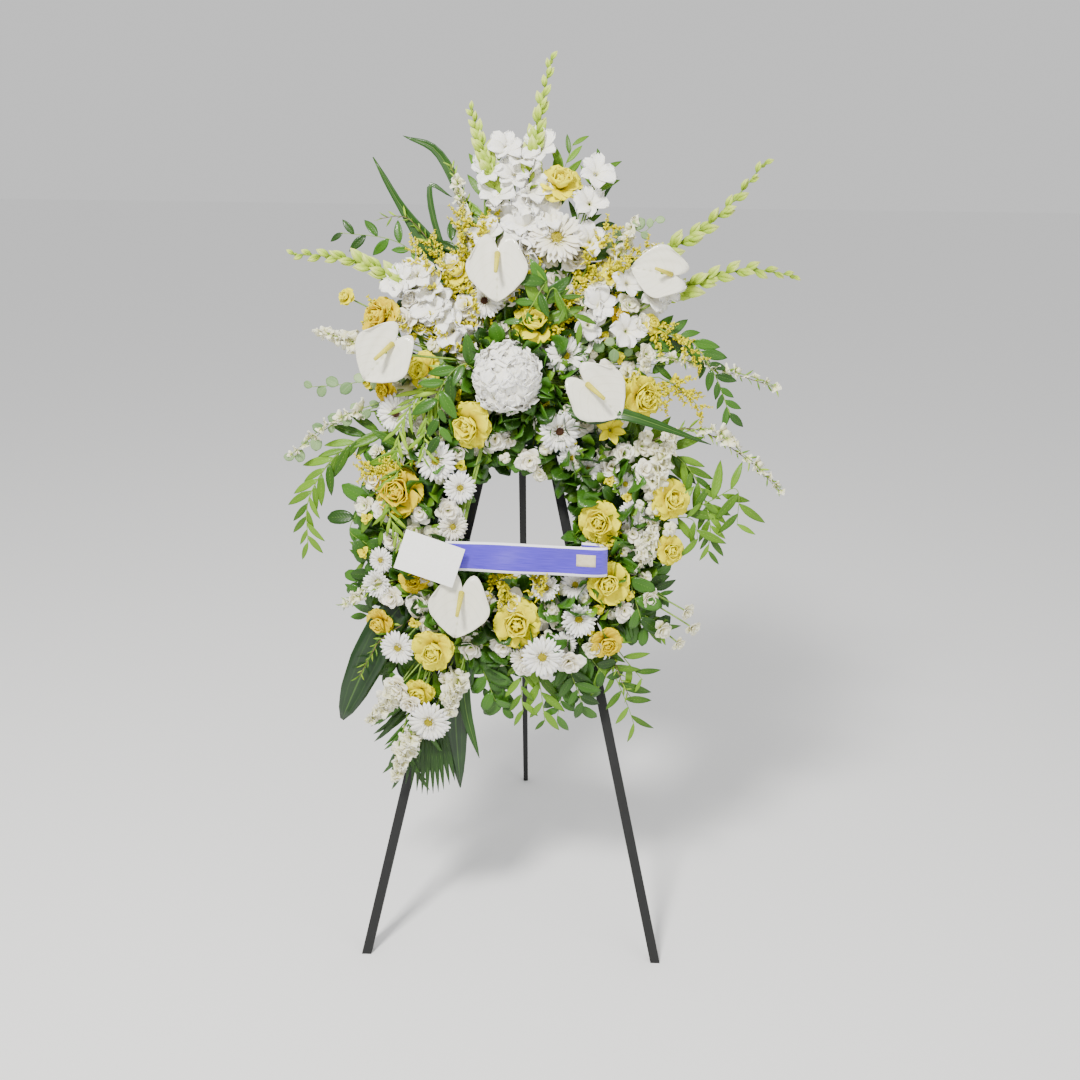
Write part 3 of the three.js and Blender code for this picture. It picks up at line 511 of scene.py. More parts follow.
def empty_mesh():
    """One point, for the trees that need no line or surface to start from."""
    mesh = bpy.data.meshes.new("start")
    mesh.from_pydata([(0, 0, 0)], [], [])
    return mesh


# %% The whorl: petals round a centre
GOLDEN_ANGLE = math.radians(137.508)


def whorl_tree():
    """Petals round a centre, the first ones innermost."""
    tree, given = new_tree(
        "whorl",
        [
            ("Petal", "Object", None),
            ("Count", "Int", 20),
            ("Turn", "Float", GOLDEN_ANGLE),
            ("Spread", "Float", 1.0),
            ("Dome", "Float", 0.0),
            ("Radius first", "Float", 0.0),
            ("Radius last", "Float", 0.01),
            ("Height first", "Float", 0.0),
            ("Height last", "Float", 0.0),
            ("Lean first", "Float", 0.0),
            ("Lean last", "Float", 1.0),
            ("Size first", "Float", 1.0),
            ("Size last", "Float", 1.0),
            ("Wobble", "Float", 0.08),
            ("Finish", "Material", None),
            ("Seed", "Int", 1),
        ],
    )
    points = put(tree, "GeometryNodePoints", {"Count": given["Count"]})[0]
    index = put(tree, "GeometryNodeInputIndex")[0]
    last = maths(tree, "MAXIMUM", maths(tree, "SUBTRACT", given["Count"], 1.0), 1.0)
    share = maths(tree, "POWER", maths(tree, "DIVIDE", index, last), given["Spread"])
    wobble = given["Wobble"]
    low = maths(tree, "MULTIPLY", wobble, -1.0)
    jitter = [chance(tree, low, wobble, given["Seed"], shift) for shift in range(4)]
    lean = maths(tree, "ADD", between(tree, share, given["Lean first"], given["Lean last"]), jitter[0])
    turn = maths(tree, "ADD", maths(tree, "MULTIPLY", index, given["Turn"]), jitter[1])
    arc_out = maths(tree, "MULTIPLY", maths(tree, "SINE", lean), given["Dome"])
    arc_up = maths(tree, "MULTIPLY", maths(tree, "COSINE", lean), given["Dome"])
    radius = maths(tree, "ADD", between(tree, share, given["Radius first"], given["Radius last"]), arc_out)
    height = maths(tree, "ADD", between(tree, share, given["Height first"], given["Height last"]), arc_up)
    place = put(
        tree,
        "ShaderNodeCombineXYZ",
        {
            "X": maths(tree, "MULTIPLY", radius, maths(tree, "COSINE", turn)),
            "Y": maths(tree, "MULTIPLY", radius, maths(tree, "SINE", turn)),
            "Z": height,
        },
    )[0]
    moved = put(tree, "GeometryNodeSetPosition", {"Geometry": points, "Position": place})[0]
    euler = put(tree, "ShaderNodeCombineXYZ", {"X": jitter[2], "Y": lean, "Z": turn})[0]
    size = between(tree, share, given["Size first"], given["Size last"])
    size = maths(tree, "MULTIPLY", size, maths(tree, "ADD", jitter[3], 1.0))
    petal = put(tree, "GeometryNodeObjectInfo", {"Object": given["Petal"]})["Geometry"]
    links = {
        "Points": moved,
        "Instance": petal,
        "Rotation": put(tree, "FunctionNodeEulerToRotation", {0: euler})[0],
        "Scale": put(tree, "ShaderNodeCombineXYZ", {"X": size, "Y": size, "Z": size})[0],
    }
    instances = put(tree, "GeometryNodeInstanceOnPoints", links)[0]
    tinted = with_tint(tree, instances, given["Seed"])
    return finished(tree, realized(tree, tinted, given["Finish"]))


WHORL = whorl_tree()


def whorl(petal, **inputs):
    """A whorl of one petal, in the petal's own material."""
    return grown(WHORL, empty_mesh(), Petal=petal, Finish=petal.data.materials[0], **inputs)


print("whorl tree:", len(WHORL.nodes), "nodes")


# %% The spray: leaves or buds along a stalk
def spray_tree():
    """Leaves along a stalk. A leaf keeps its own materials, since a twig of goldenrod has two."""
    tree, given = new_tree(
        "spray",
        [
            ("Leaf", "Object", None),
            ("Count", "Int", 12),
            ("Start", "Float", 0.2),
            ("End", "Float", 1.0),
            ("Spread", "Float", 0.7),
            ("Turn", "Float", 0.0),
            ("Alternate", "Float", 1.0),
            ("Size first", "Float", 1.0),
            ("Size last", "Float", 0.6),
            ("Wobble", "Float", 0.1),
            ("Stalk first", "Float", 0.002),
            ("Stalk last", "Float", 0.0008),
            ("Stalk material", "Material", None),
            ("Face", "Vector", (0.0, -1.0, 0.2)),
            ("Seed", "Int", 1),
        ],
    )
    stalk, path = stalk_tube(tree, given["Stalk first"], given["Stalk last"], given["Stalk material"])
    trimmed = put(tree, "GeometryNodeTrimCurve", {0: path, 2: given["Start"], 3: given["End"]},
                  mode="FACTOR")[0]
    beads = put(tree, "GeometryNodeCurveToPoints", {"Curve": trimmed, "Count": given["Count"]}, mode="COUNT")
    index = put(tree, "GeometryNodeInputIndex")[0]
    last = maths(tree, "MAXIMUM", maths(tree, "SUBTRACT", given["Count"], 1.0), 1.0)
    share = maths(tree, "DIVIDE", index, last)
    wobble = given["Wobble"]
    low = maths(tree, "MULTIPLY", wobble, -1.0)
    jitter = [chance(tree, low, wobble, given["Seed"], shift) for shift in range(4)]
    parity = maths(tree, "MODULO", index, 2.0)
    flip = maths(tree, "MULTIPLY", maths(tree, "MULTIPLY", parity, 2.0), given["Alternate"])
    hand = maths(tree, "SUBTRACT", 1.0, flip)
    lean = maths(tree, "MULTIPLY", maths(tree, "ADD", given["Spread"], jitter[0]), hand)
    turn = maths(tree, "ADD", maths(tree, "MULTIPLY", index, given["Turn"]), jitter[1])
    rotation = put(tree, "FunctionNodeAlignRotationToVector", {"Vector": beads["Tangent"]}, axis="Z")[0]
    back = put(tree, "ShaderNodeVectorMath", {0: given["Face"], 1: (-1.0, -1.0, -1.0)},
               operation="MULTIPLY")[0]
    rotation = put(
        tree, "FunctionNodeAlignRotationToVector", {"Rotation": rotation, "Vector": back}, axis="X",
        pivot_axis="Z"
    )[0]
    for axis, angle in (("Z", turn), ("X", lean), ("Z", jitter[2])):
        twist = put(tree, "ShaderNodeCombineXYZ", {axis: angle})[0]
        step = put(tree, "FunctionNodeEulerToRotation", {0: twist})[0]
        rotation = put(tree, "FunctionNodeRotateRotation", {0: rotation, 1: step}, rotation_space="LOCAL")[0]
    size = between(tree, share, given["Size first"], given["Size last"])
    size = maths(tree, "MULTIPLY", size, maths(tree, "ADD", jitter[3], 1.0))
    links = {
        "Points": beads["Points"],
        "Instance": put(tree, "GeometryNodeObjectInfo", {"Object": given["Leaf"]})["Geometry"],
        "Rotation": rotation,
        "Scale": put(tree, "ShaderNodeCombineXYZ", {"X": size, "Y": size, "Z": size})[0],
    }
    instances = put(tree, "GeometryNodeInstanceOnPoints", links)[0]
    tinted = with_tint(tree, instances, given["Seed"])
    leaves = put(tree, "GeometryNodeRealizeInstances", {"Geometry": tinted})[0]
    join = tree.nodes.new("GeometryNodeJoinGeometry")
    tree.links.new(leaves, join.inputs[0])
    tree.links.new(stalk, join.inputs[0])
    return finished(tree, join.outputs[0])


SPRAY = spray_tree()


def smooth_path(points, steps=6):
    """A smooth line through the given points, as a mesh of edges."""
    ends = [points[0] * 2 - points[1], *points, points[-1] * 2 - points[-2]]
    line = []
    for a, b, c, d in zip(ends, ends[1:], ends[2:], ends[3:]):
        for k in range(steps):
            t = k / steps
            line.append(
                0.5
                * (
                    2 * b
                    + (c - a) * t
                    + (2 * a - 5 * b + 4 * c - d) * t**2
                    + (3 * b - a - 3 * c + d) * t**3
                )
            )
    line.append(points[-1])
    mesh = bpy.data.meshes.new("path")
    mesh.from_pydata([tuple(p) for p in line], [(i, i + 1) for i in range(len(line) - 1)], [])
    return mesh


def spray(leaf, points, stalk=STEM, face=OUT, **inputs):
    """Leaves along the smooth line through points, with their upper sides towards face."""
    return grown(SPRAY, smooth_path(points), Leaf=leaf, Stalk_material=stalk, Face=tuple(face), **inputs)


print("spray tree:", len(SPRAY.nodes), "nodes")


# %% The cover: leaves strewn over a surface
def cover_tree():
    """Leaves strewn at random over a surface, lying roughly along it."""
    tree, given = new_tree(
        "cover",
        [
            ("Leaf", "Object", None),
            ("Density", "Float", 800.0),
            ("Size low", "Float", 0.7),
            ("Size high", "Float", 1.2),
            ("Tilt", "Float", 0.6),
            ("Finish", "Material", None),
            ("Seed", "Int", 1),
        ],
    )
    links = {"Mesh": given["Geometry"], "Density": given["Density"], "Seed": given["Seed"]}
    strewn = put(tree, "GeometryNodeDistributePointsOnFaces", links, distribute_method="RANDOM")
    rotation = put(tree, "FunctionNodeAlignRotationToVector", {"Vector": strewn["Normal"]}, axis="Z")[0]
    for axis, low, high, shift in (("Z", -3.14, 3.14, 1), ("X", None, None, 2), ("Z", -3.14, 3.14, 3)):
        low = maths(tree, "MULTIPLY", given["Tilt"], -1.0) if low is None else low
        high = given["Tilt"] if high is None else high
        twist = put(tree, "ShaderNodeCombineXYZ", {axis: chance(tree, low, high, given["Seed"], shift)})[0]
        step = put(tree, "FunctionNodeEulerToRotation", {0: twist})[0]
        rotation = put(tree, "FunctionNodeRotateRotation", {0: rotation, 1: step}, rotation_space="LOCAL")[0]
    size = chance(tree, given["Size low"], given["Size high"], given["Seed"], 4)
    links = {
        "Points": strewn["Points"],
        "Instance": put(tree, "GeometryNodeObjectInfo", {"Object": given["Leaf"]})["Geometry"],
        "Rotation": rotation,
        "Scale": put(tree, "ShaderNodeCombineXYZ", {"X": size, "Y": size, "Z": size})[0],
    }
    instances = put(tree, "GeometryNodeInstanceOnPoints", links)[0]
    tinted = with_tint(tree, instances, given["Seed"])
    return finished(tree, realized(tree, tinted, given["Finish"]))


COVER = cover_tree()


def cover(surface, leaf, **inputs):
    """A cover of one leaf over a surface, in the leaf's own material."""
    return grown(COVER, surface, Leaf=leaf, Finish=leaf.data.materials[0], **inputs)


print("cover tree:", len(COVER.nodes), "nodes")


# %% Gathering meshes into pieces
def gathered(name, parts):
    """One mesh from (mesh, matrix) pairs, with their materials kept."""
    together = bmesh.new()
    materials = []
    for mesh, matrix in parts:
        copy = mesh.copy()
        copy.transform(matrix)
        places = []
        for material in copy.materials:
            if material not in materials:
                materials.append(material)
            places.append(materials.index(material))
        if places:
            index = np.empty(len(copy.polygons), dtype=np.int32)
            copy.polygons.foreach_get("material_index", index)
            copy.polygons.foreach_set("material_index", np.array(places, dtype=np.int32)[index])
        together.from_mesh(copy)
        bpy.data.meshes.remove(copy)
    mesh = bpy.data.meshes.new(name)
    together.to_mesh(mesh)
    together.free()
    for material in materials:
        mesh.materials.append(material)
    mesh.polygons.foreach_set("use_smooth", [True] * len(mesh.polygons))
    return mesh


total_faces = 0


def piece(name, parts, slot, *nodes):
    """A finished piece from (mesh, matrix) pairs: it rides with the wreath and may replace CAD nodes."""
    global total_faces
    thing = bpy.data.objects.new(name, gathered(name, parts))
    scene.collection.objects.link(thing)
    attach(thing, WREATH_BODY)
    if nodes:
        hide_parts(*nodes)
    faces = sum(len(p.vertices) - 2 for p in thing.data.polygons)
    total_faces += faces
    print(f"{name}: {faces} triangles")
    return thing


# %% [markdown]
# ## The easel, the trays and the foam
# The easel is planed softwood under matt black paint, worn a little where hands fold it. Its bolt and
# wing nut are zinc plated. The foam sits in green plastic trays. All of them keep the shape they have in
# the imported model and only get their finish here, because nothing about their form is missing.

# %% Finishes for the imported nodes
TIMBER = plain_finish("black_timber", "070808", "131415", 0.6, 34.0, 0.5, 0.0006, stretch=(9, 9, 0.7))
ZINC = plain_finish("zinc_steel", "8d9296", "c9ccce", 0.34, 160.0, 0.15, 0.0003, Metallic=1.0)
PLASTIC = plain_finish("green_plastic", "16331f", "21492d", 0.38, 60.0, 0.15, 0.0004)
FOAM = plain_finish("wet_foam", "1f3d22", "38603a", 0.9, 260.0, 0.8, 0.0015)
PAPER = plain_finish("card_paper", "f0efea", "fafaf7", 0.75, 300.0, 0.15, 0.0002)

FINISHED = {
    "front_leg_left": TIMBER,
    "front_leg_right": TIMBER,
    "rear_leg": TIMBER,
    "head_block": TIMBER,
    "crossbar": TIMBER,
    "ring_peg_left": TIMBER,
    "ring_peg_right": TIMBER,
    "hinge_bolt": ZINC,
    "wing_nut": ZINC,
    "ring_tray": PLASTIC,
    "crest_tray": PLASTIC,
    "foam_ring": FOAM,
    "crest_foam": FOAM,
    "card_pick": PLASTIC,
    "message_card": PAPER,
}
for node, material in FINISHED.items():
    frame["nodes"][node].data.materials.clear()
    frame["nodes"][node].data.materials.append(material)
print("packed nodes finished:", len(FINISHED))

# %% [markdown]
# ## Where each flower stands
# The florist cuts each stem to a length, pushes it into the nearest foam and turns the flower to face
# outwards and forwards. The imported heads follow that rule, and the same rule places their petals: the
# facing is part way between the line of the stem and straight out.

# %% The rule for a head and its stem
def stem_tree():
    """Bare stems along the lines that it is given."""
    tree, given = new_tree(
        "stems", [("First", "Float", 0.0026), ("Last", "Float", 0.0022), ("Stalk", "Material", None)]
    )
    stalk, _ = stalk_tube(tree, given["First"], given["Last"], given["Stalk"])
    return finished(tree, stalk)


STEMS = stem_tree()


def bent(root, meets, away, facing, most, steps=9):
    """A stem's line: it leaves the foam along away and arrives at the head along facing."""
    span = (meets - root).length
    bow = min(span * 0.35, most)
    a, b, c, d = root, root + away * span * 0.35, meets - facing * bow, meets + facing * 0.004
    line = []
    for i in range(steps):
        t = i / (steps - 1)
        line.append(a * (1 - t) ** 3 + b * 3 * t * (1 - t) ** 2 + c * 3 * t**2 * (1 - t) + d * t**3)
    return line


def stem_mesh(lines, first=0.0026, last=0.0022, stalk=STEM):
    """Stems along lines of points; first and last are their radii in metres."""
    mesh = bpy.data.meshes.new("lines")
    points, edges = [], []
    for line in lines:
        edges += [(len(points) + i, len(points) + i + 1) for i in range(len(line) - 1)]
        points += [tuple(p) for p in line]
    mesh.from_pydata(points, edges, [])
    return grown(STEMS, mesh, First=first, Last=last, Stalk=stalk)


CREST_FOOT, RING_REACH = 1120, 480  # flowers above this, or farther out than this, root in the crest
RING_ROOT_OUT, CREST_ROOT_OUT = 45, 92  # how far out of the plane the stems' ends are in each foam


def root_for(across, up):
    """The nearest foam: the ring's circle, or the crest block for all that grows above it."""
    if up < CREST_FOOT and math.hypot(across, up - RING_UP) < RING_REACH:
        angle = math.atan2(up - RING_UP, across)
        return spot(RING_CORE * math.cos(angle), RING_UP + RING_CORE * math.sin(angle), RING_ROOT_OUT)
    root_across = max(-44, min(44, across * 0.3))
    root_up = max(1146, min(1230, 1190 + (up - 1250) * 0.2))
    return spot(root_across, root_up, CREST_ROOT_OUT)


def head(place, root, forward, neck, turn=0.0, size=1.0, most=0.06):
    """The matrix of a head and the line of its stem."""
    away = (place - root).normalized()
    facing = (away * (1 - forward) + OUT * forward).normalized()
    swing = OUT.rotation_difference(facing).to_matrix().to_4x4()
    basis = Matrix((ACROSS, UP, OUT)).transposed().to_4x4()
    matrix = Matrix.Translation(place) @ swing @ basis @ Matrix.Rotation(turn, 4, "Z") @ Matrix.Scale(size, 4)
    return matrix, bent(root, place - facing * neck, away, facing, most)


print("rule ready; ring root at the bottom:", [round(v, 3) for v in root_for(0, 600)])

# %% [markdown]
# ## Roses
# A garden rose opens from a tight spiral of small upright petals to broad outer ones that curl back at
# the rim. Three whorls of different petals make it. Each whorl goes on turning by the golden angle, about
# 137.5 degrees, because real petals are set that way too. The petals come to twenty-seven in all.


# %% A rose of unit radius
def rose_mesh(material, seed, openness=1.0):
    heart = petal_sample("heart", 0.02, material, 0.86, 0.62, ROUND, -0.5, 0.9, 0.02, 2, (5, 4))
    inner = petal_sample("inner", 0.02, material, 1.02, 0.98, ROUND, -0.15, 0.62, 0.03, 2, (5, 4))
    outer = petal_sample("outer", 0.02, material, 1.12, 1.28, ROUND, 0.95, 0.34, 0.05, 2, (6, 4))
    sepal = petal_sample("sepal", 0.02, STEM, 0.75, 0.24, POINTED, 0.7, 0.2, 0.0, 2, (4, 2))
    parts = [
        whorl(
            heart, Count=8, Radius_first=0.02, Radius_last=0.12, Lean_first=0.02, Lean_last=0.20, Seed=seed,
            Height_first=-0.18, Height_last=-0.24, Size_first=0.72, Size_last=1.0, Wobble=0.06,
        ),
        whorl(
            inner, Count=9, Radius_first=0.15, Radius_last=0.20, Lean_first=0.30, Lean_last=0.62 * openness,
            Height_first=-0.34, Height_last=-0.38, Size_first=0.94, Size_last=1.02, Wobble=0.08,
            Seed=seed + 1,
        ),
        whorl(
            outer, Count=10, Radius_first=0.16, Radius_last=0.10, Height_first=-0.42, Height_last=-0.50,
            Lean_first=0.74 * openness, Lean_last=1.12 * openness, Size_first=0.94, Size_last=0.98,
            Wobble=0.10, Seed=seed + 2,
        ),
        whorl(
            sepal, Count=5, Turn=math.tau / 5, Radius_first=0.08, Radius_last=0.08, Lean_first=1.5,
            Lean_last=1.5,
            Height_first=-0.60, Height_last=-0.60, Wobble=0.12, Seed=seed + 3,
        ),
    ]
    parts.append(ball("hip", 0.24, STEM))
    lowered = [Matrix.Identity(4)] * 4 + [Matrix.Translation((0, 0, -0.66)) @ Matrix.Diagonal((1, 1, 1.25,
                                                                                               1))]
    return gathered("rose", list(zip(parts, lowered)))


rose_kinds = [rose_mesh(ROSE, 10), rose_mesh(ROSE, 30, 0.86), rose_mesh(ROSE_GOLD, 50),
              rose_mesh(ROSE, 70, 1.08)]
print("rose:", len(rose_kinds[0].polygons), "faces")

# %% The roses of the wreath
ROSES = {
    "rose_crest_high": (75, 1545, 122, 27, 22, 1224, 82, 0),
    "rose_crest_left": (-258, 1300, 112, 29, -42, 1190, 95, 2),
    "rose_crest_centre": (32, 1292, 128, 30, 18, 1205, 97, 0),
    "rose_crest_heart": (-176, 1202, 100, 27, -40, 1176, 92, 1),
    "rose_crest_right": (236, 1158, 118, 31, 42, 1164, 86, 3),
    "rose_crest_low": (-88, 1102, 126, 32, -24, 1152, 96, 0),
    "rose_ring_left": (-222, 976, 116, 35, None, None, None, 2),
    "rose_ring_lower_left": (-152, 672, 120, 31, None, None, None, 1),
    "rose_ring_bottom": (8, 726, 118, 33, None, None, None, 0),
    "rose_ring_inner_right": (160, 924, 112, 30, None, None, None, 3),
    "rose_ring_right": (180, 808, 116, 31, None, None, None, 1),
    "rose_ring_far_right": (296, 970, 100, 28, None, None, None, 0),
}
for order, (name, (across, up, out, size, *rest)) in enumerate(ROSES.items()):
    *root, kind = rest
    start = spot(*root) if root[0] is not None else root_for(across, up)
    matrix, line = head(spot(across, up, out), start, 0.6, 0.8 * size * MM, order * 0.9, size * MM * 1.2)
    piece("petals_of_" + name, [(rose_kinds[kind], matrix), (stem_mesh([line]), Matrix())], "rose_petal",
          name)

# %% [markdown]
# ## Gerberas
# A gerbera is a daisy: a flat ring of long strap petals in two rows, a frill of short ones, and an eye
# packed with tiny florets. The eye is dark brown on some of these and pale yellow on others. The straps
# are slightly grooved and lie almost flat, the front row a little higher than the back one.


# %% A gerbera of unit radius
def gerbera_mesh(seed, eye, petal_material=WHITE, cupped=0.0):
    strap = petal_sample("strap", 0.012, petal_material, 0.74, 0.20, STRAP, 0.12, 0.35, 0.0, 2, (5, 2))
    short = petal_sample("short", 0.01, petal_material, 0.20, 0.07, STRAP, -0.3, 0.3, 0.0, 2, (2, 2))
    grain = petal_sample("grain", 0.02, eye, 0.07, 0.04, POINTED, 0.0, 0.0, 0.0, 2, (2, 1))
    green = petal_sample("green", 0.012, STEM, 0.34, 0.10, POINTED, 0.5, 0.3, 0.0, 2, (3, 2))
    parts = [
        whorl(
            strap, Count=26, Turn=math.tau / 26, Radius_first=0.24, Radius_last=0.24, Wobble=0.06, Seed=seed,
            Lean_first=1.50 - cupped, Lean_last=1.50 - cupped, Height_first=-0.06, Height_last=-0.06,
        ),
        whorl(
            strap, Count=22, Turn=math.tau / 22, Radius_first=0.20, Radius_last=0.20, Wobble=0.07,
            Seed=seed + 1,
            Lean_first=1.32 - cupped, Lean_last=1.32 - cupped, Height_first=-0.02, Height_last=-0.02,
            Size_first=0.90, Size_last=0.90,
        ),
        whorl(
            short, Count=26, Turn=math.tau / 13, Radius_first=0.17, Radius_last=0.22, Wobble=0.12,
            Seed=seed + 2,
            Lean_first=0.5, Lean_last=1.1, Height_first=0.02, Height_last=0.0,
        ),
        whorl(
            grain, Count=64, Spread=0.5, Radius_first=0.0, Radius_last=0.17, Wobble=0.15, Seed=seed + 3,
            Lean_first=0.0, Lean_last=0.7, Height_first=0.03, Height_last=0.0,
        ),
        whorl(
            green, Count=14, Turn=math.tau / 14, Radius_first=0.05, Radius_last=0.05, Wobble=0.1,
            Seed=seed + 4,
            Lean_first=1.15, Lean_last=1.15, Height_first=-0.24, Height_last=-0.24,
        ),
    ]
    cushion = bpy.data.meshes.new("cushion")
    build = bmesh.new()
    bmesh.ops.create_uvsphere(build, u_segments=16, v_segments=8, radius=0.22)
    build.to_mesh(cushion)
    build.free()
    cushion.materials.append(eye)
    placed_parts = [(part, Matrix.Identity(4)) for part in parts]
    placed_parts.append((cushion, Matrix.Translation((0, 0, -0.05)) @ Matrix.Diagonal((1, 1, 0.42, 1))))
    return gathered("gerbera", placed_parts)


gerbera_brown = gerbera_mesh(100, BROWN_EYE)
gerbera_yellow = gerbera_mesh(120, YELLOW_EYE)
gerbera_pale = gerbera_mesh(140, YELLOW_EYE, CREAM, 0.12)
gerbera_cup = gerbera_mesh(160, YELLOW_EYE, WHITE, 0.55)
print("gerbera:", len(gerbera_brown.polygons), "faces")

# %% The gerberas of the wreath
GERBERAS = {
    "gerbera_crest_top": (70, 1446, 128, 52, 29, 1224, 96, gerbera_pale),
    "gerbera_crest_right": (90, 1234, 122, 40, 30, 1192, 96, gerbera_yellow),
    "gerbera_crest_low": (82, 1094, 118, 40, 20, 1152, 96, gerbera_brown),
    "gerbera_ring_far_left": (-226, 1122, 112, 40, None, None, None, gerbera_brown),
    "gerbera_ring_upper_left": (-150, 1034, 118, 40, None, None, None, gerbera_yellow),
    "gerbera_ring_bottom": (58, 664, 122, 42, None, None, None, gerbera_yellow),
    "gerbera_ring_lower_right": (126, 736, 104, 38, None, None, None, gerbera_cup),
    "gerbera_tail": (-160, 528, 112, 43, None, None, None, gerbera_yellow),
}
for order, (name, (across, up, out, size, *rest)) in enumerate(GERBERAS.items()):
    *root, kind = rest
    start = spot(*root) if root[0] is not None else root_for(across, up)
    matrix, line = head(spot(across, up, out), start, 0.75, 0.3 * size * MM, order * 0.7, size * MM * 1.02)
    piece("petals_of_" + name, [(kind, matrix), (stem_mesh([line]), Matrix())], "gerbera_petal", name)

# %% [markdown]
# ## Anthuriums
# An anthurium's white heart is one waxy leaf, the spathe. Its rim is a heart with the stem joining under
# the notch, and a yellow spadix stands out from there. The grid runs from the two lobes to the tip, so
# its first row follows the notch.


# %% An anthurium of unit size
def anthurium_mesh():
    rows = []
    for i in range(13):
        s = i / 12
        half = 0.97 * float(np.interp(s, (0, 0.12, 0.3, 0.5, 0.75, 0.92, 1),
                                      (0.84, 0.98, 1.0, 0.88, 0.55, 0.24, 0.02)))
        row = []
        for j in range(17):
            t = 2 * j / 16 - 1
            lobe = -0.46 * math.sin(math.pi * abs(t) ** 0.82) * (1 - s) ** 2.2 + 0.30 * abs(t) ** 3 * (1 - s)
            z = 1.62 * s + lobe
            ridge = 0.05 * math.cos(5 * math.pi * t) * (1 - s) * min(1, s * 4)
            dish = -0.20 * abs(t) ** 1.7 * (1 - s * 0.6) + 0.16 * s**2.5 + ridge
            row.append((dish, half * t, z))
        rows.append(row)
    heart = sheet_mesh("spathe", rows, 0.03, SPATHE)
    turned = Matrix(((0, 1, 0, 0), (0, 0, -1, 0.50), (-1, 0, 0, 0), (0, 0, 0, 1)))
    finger = bpy.data.meshes.new("spadix")
    build = bmesh.new()
    bmesh.ops.create_cone(build, cap_ends=True, segments=12, radius1=0.095, radius2=0.055, depth=0.92)
    bmesh.ops.bevel(build, geom=[e for e in build.edges if abs(e.verts[0].co.z - e.verts[1].co.z) < 1e-6],
                    offset=0.035, segments=3, affect="EDGES")
    build.to_mesh(finger)
    build.free()
    finger.materials.append(SPADIX)
    aim = Vector((0, -0.78, 0.62)).to_track_quat("Z", "Y").to_matrix().to_4x4()
    return gathered("anthurium", [(heart, turned), (finger, Matrix.Translation((0, 0.02, 0.30)) @ aim)])


anthurium = anthurium_mesh()
ANTHURIUMS = {
    "anthurium_top": (-36, 1392, 156, 58, -3, 1208, 97, 0),
    "anthurium_left": (-236, 1232, 168, 58, -34, 1218, 97, -40),
    "anthurium_right": (146, 1168, 160, 58, 40, 1182, 96, 48),
    "anthurium_far_right": (262, 1384, 142, 50, 44, 1218, 97, -100),
    "anthurium_low": (-98, 770, 150, 60, None, None, None, -8),
}
for name, (across, up, out, size, *root, tip) in ANTHURIUMS.items():
    start = spot(*root) if root[0] is not None else root_for(across, up)
    matrix, line = head(spot(across, up, out), start, 0.92, 0.002, math.radians(tip), size * MM)
    piece("spathe_of_" + name, [(anthurium, matrix), (stem_mesh([line]), Matrix())], "anthurium_spathe", name)

# %% [markdown]
# ## The hydrangea
# A hydrangea head is a dome of four-petalled florets, all crowded at the surface. The whorl's dome setting
# places seventy-two of them on a sphere, turned by the golden angle so that none stands over another.

# %% Its florets and its dome
quarter = petal_sample("quarter", 0.008, WHITE, 0.23, 0.24, ROUND, 0.3, 0.2, 0.02, 2, (3, 3))
floret = sample(whorl(quarter, Count=4, Turn=math.tau / 4, Lean_first=1.2, Lean_last=1.2, Wobble=0.15,
                      Radius_first=0.01, Radius_last=0.01, Seed=5))
dome = whorl(floret, Count=72, Spread=0.58, Dome=0.86, Lean_first=0.0, Lean_last=2.0, Wobble=0.30,
             Size_first=1.75, Size_last=1.6, Radius_first=0.0, Radius_last=0.0, Seed=8)
core_mesh = ball("core", 0.84, WHITE)
matrix, line = head(spot(-16, 1190, 146), spot(-16, 1190, 92), 1.0, 0.025, 0, 62 * MM)
flatten = matrix @ Matrix.Diagonal((1, 1, 0.8, 1))
piece(
    "florets_of_hydrangea",
    [(dome, flatten), (core_mesh, flatten), (stem_mesh([line], 0.003, 0.003), Matrix())],
    "hydrangea_petal",
    "hydrangea",
)

# %% [markdown]
# ## Gladioli and snapdragons
# A spike flowers from its foot upwards. Open florets stand low, pale green buds follow, and the very tip
# is only overlapping scales. Each spike is a spray along its own bent stalk: six-petalled florets first,
# then buds that shrink. The snapdragon is the same, with smaller frilled florets packed on all sides.

# %% Florets and buds
flare = petal_sample("flare", 0.0006, WHITE, 0.050, 0.036, ROUND, 0.9, 0.3, 0.004, 2, (5, 4))
open_floret = sample(
    whorl(flare, Count=6, Turn=math.tau / 6, Lean_first=0.55, Lean_last=0.55, Wobble=0.1,
          Radius_first=0.003, Radius_last=0.003, Seed=3)
)
bud_scale = petal_sample("bud_scale", 0.0006, PALE_GREEN, 0.044, 0.023, POINTED, -0.25, 0.8, 0.0, 2, (4, 2))
bud = sample(
    whorl(bud_scale, Count=3, Turn=math.tau / 3, Lean_first=0.10, Lean_last=0.10, Wobble=0.05,
          Radius_first=0.002, Radius_last=0.002, Seed=4)
)
frill = petal_sample("frill", 0.0005, IVORY, 0.020, 0.020, ROUND, 0.8, 0.3, 0.003, 3, (2, 2))
snap_floret = sample(
    whorl(frill, Count=5, Turn=math.tau / 5, Lean_first=0.6, Lean_last=0.6, Wobble=0.2,
          Radius_first=0.002, Radius_last=0.002, Seed=6)
)

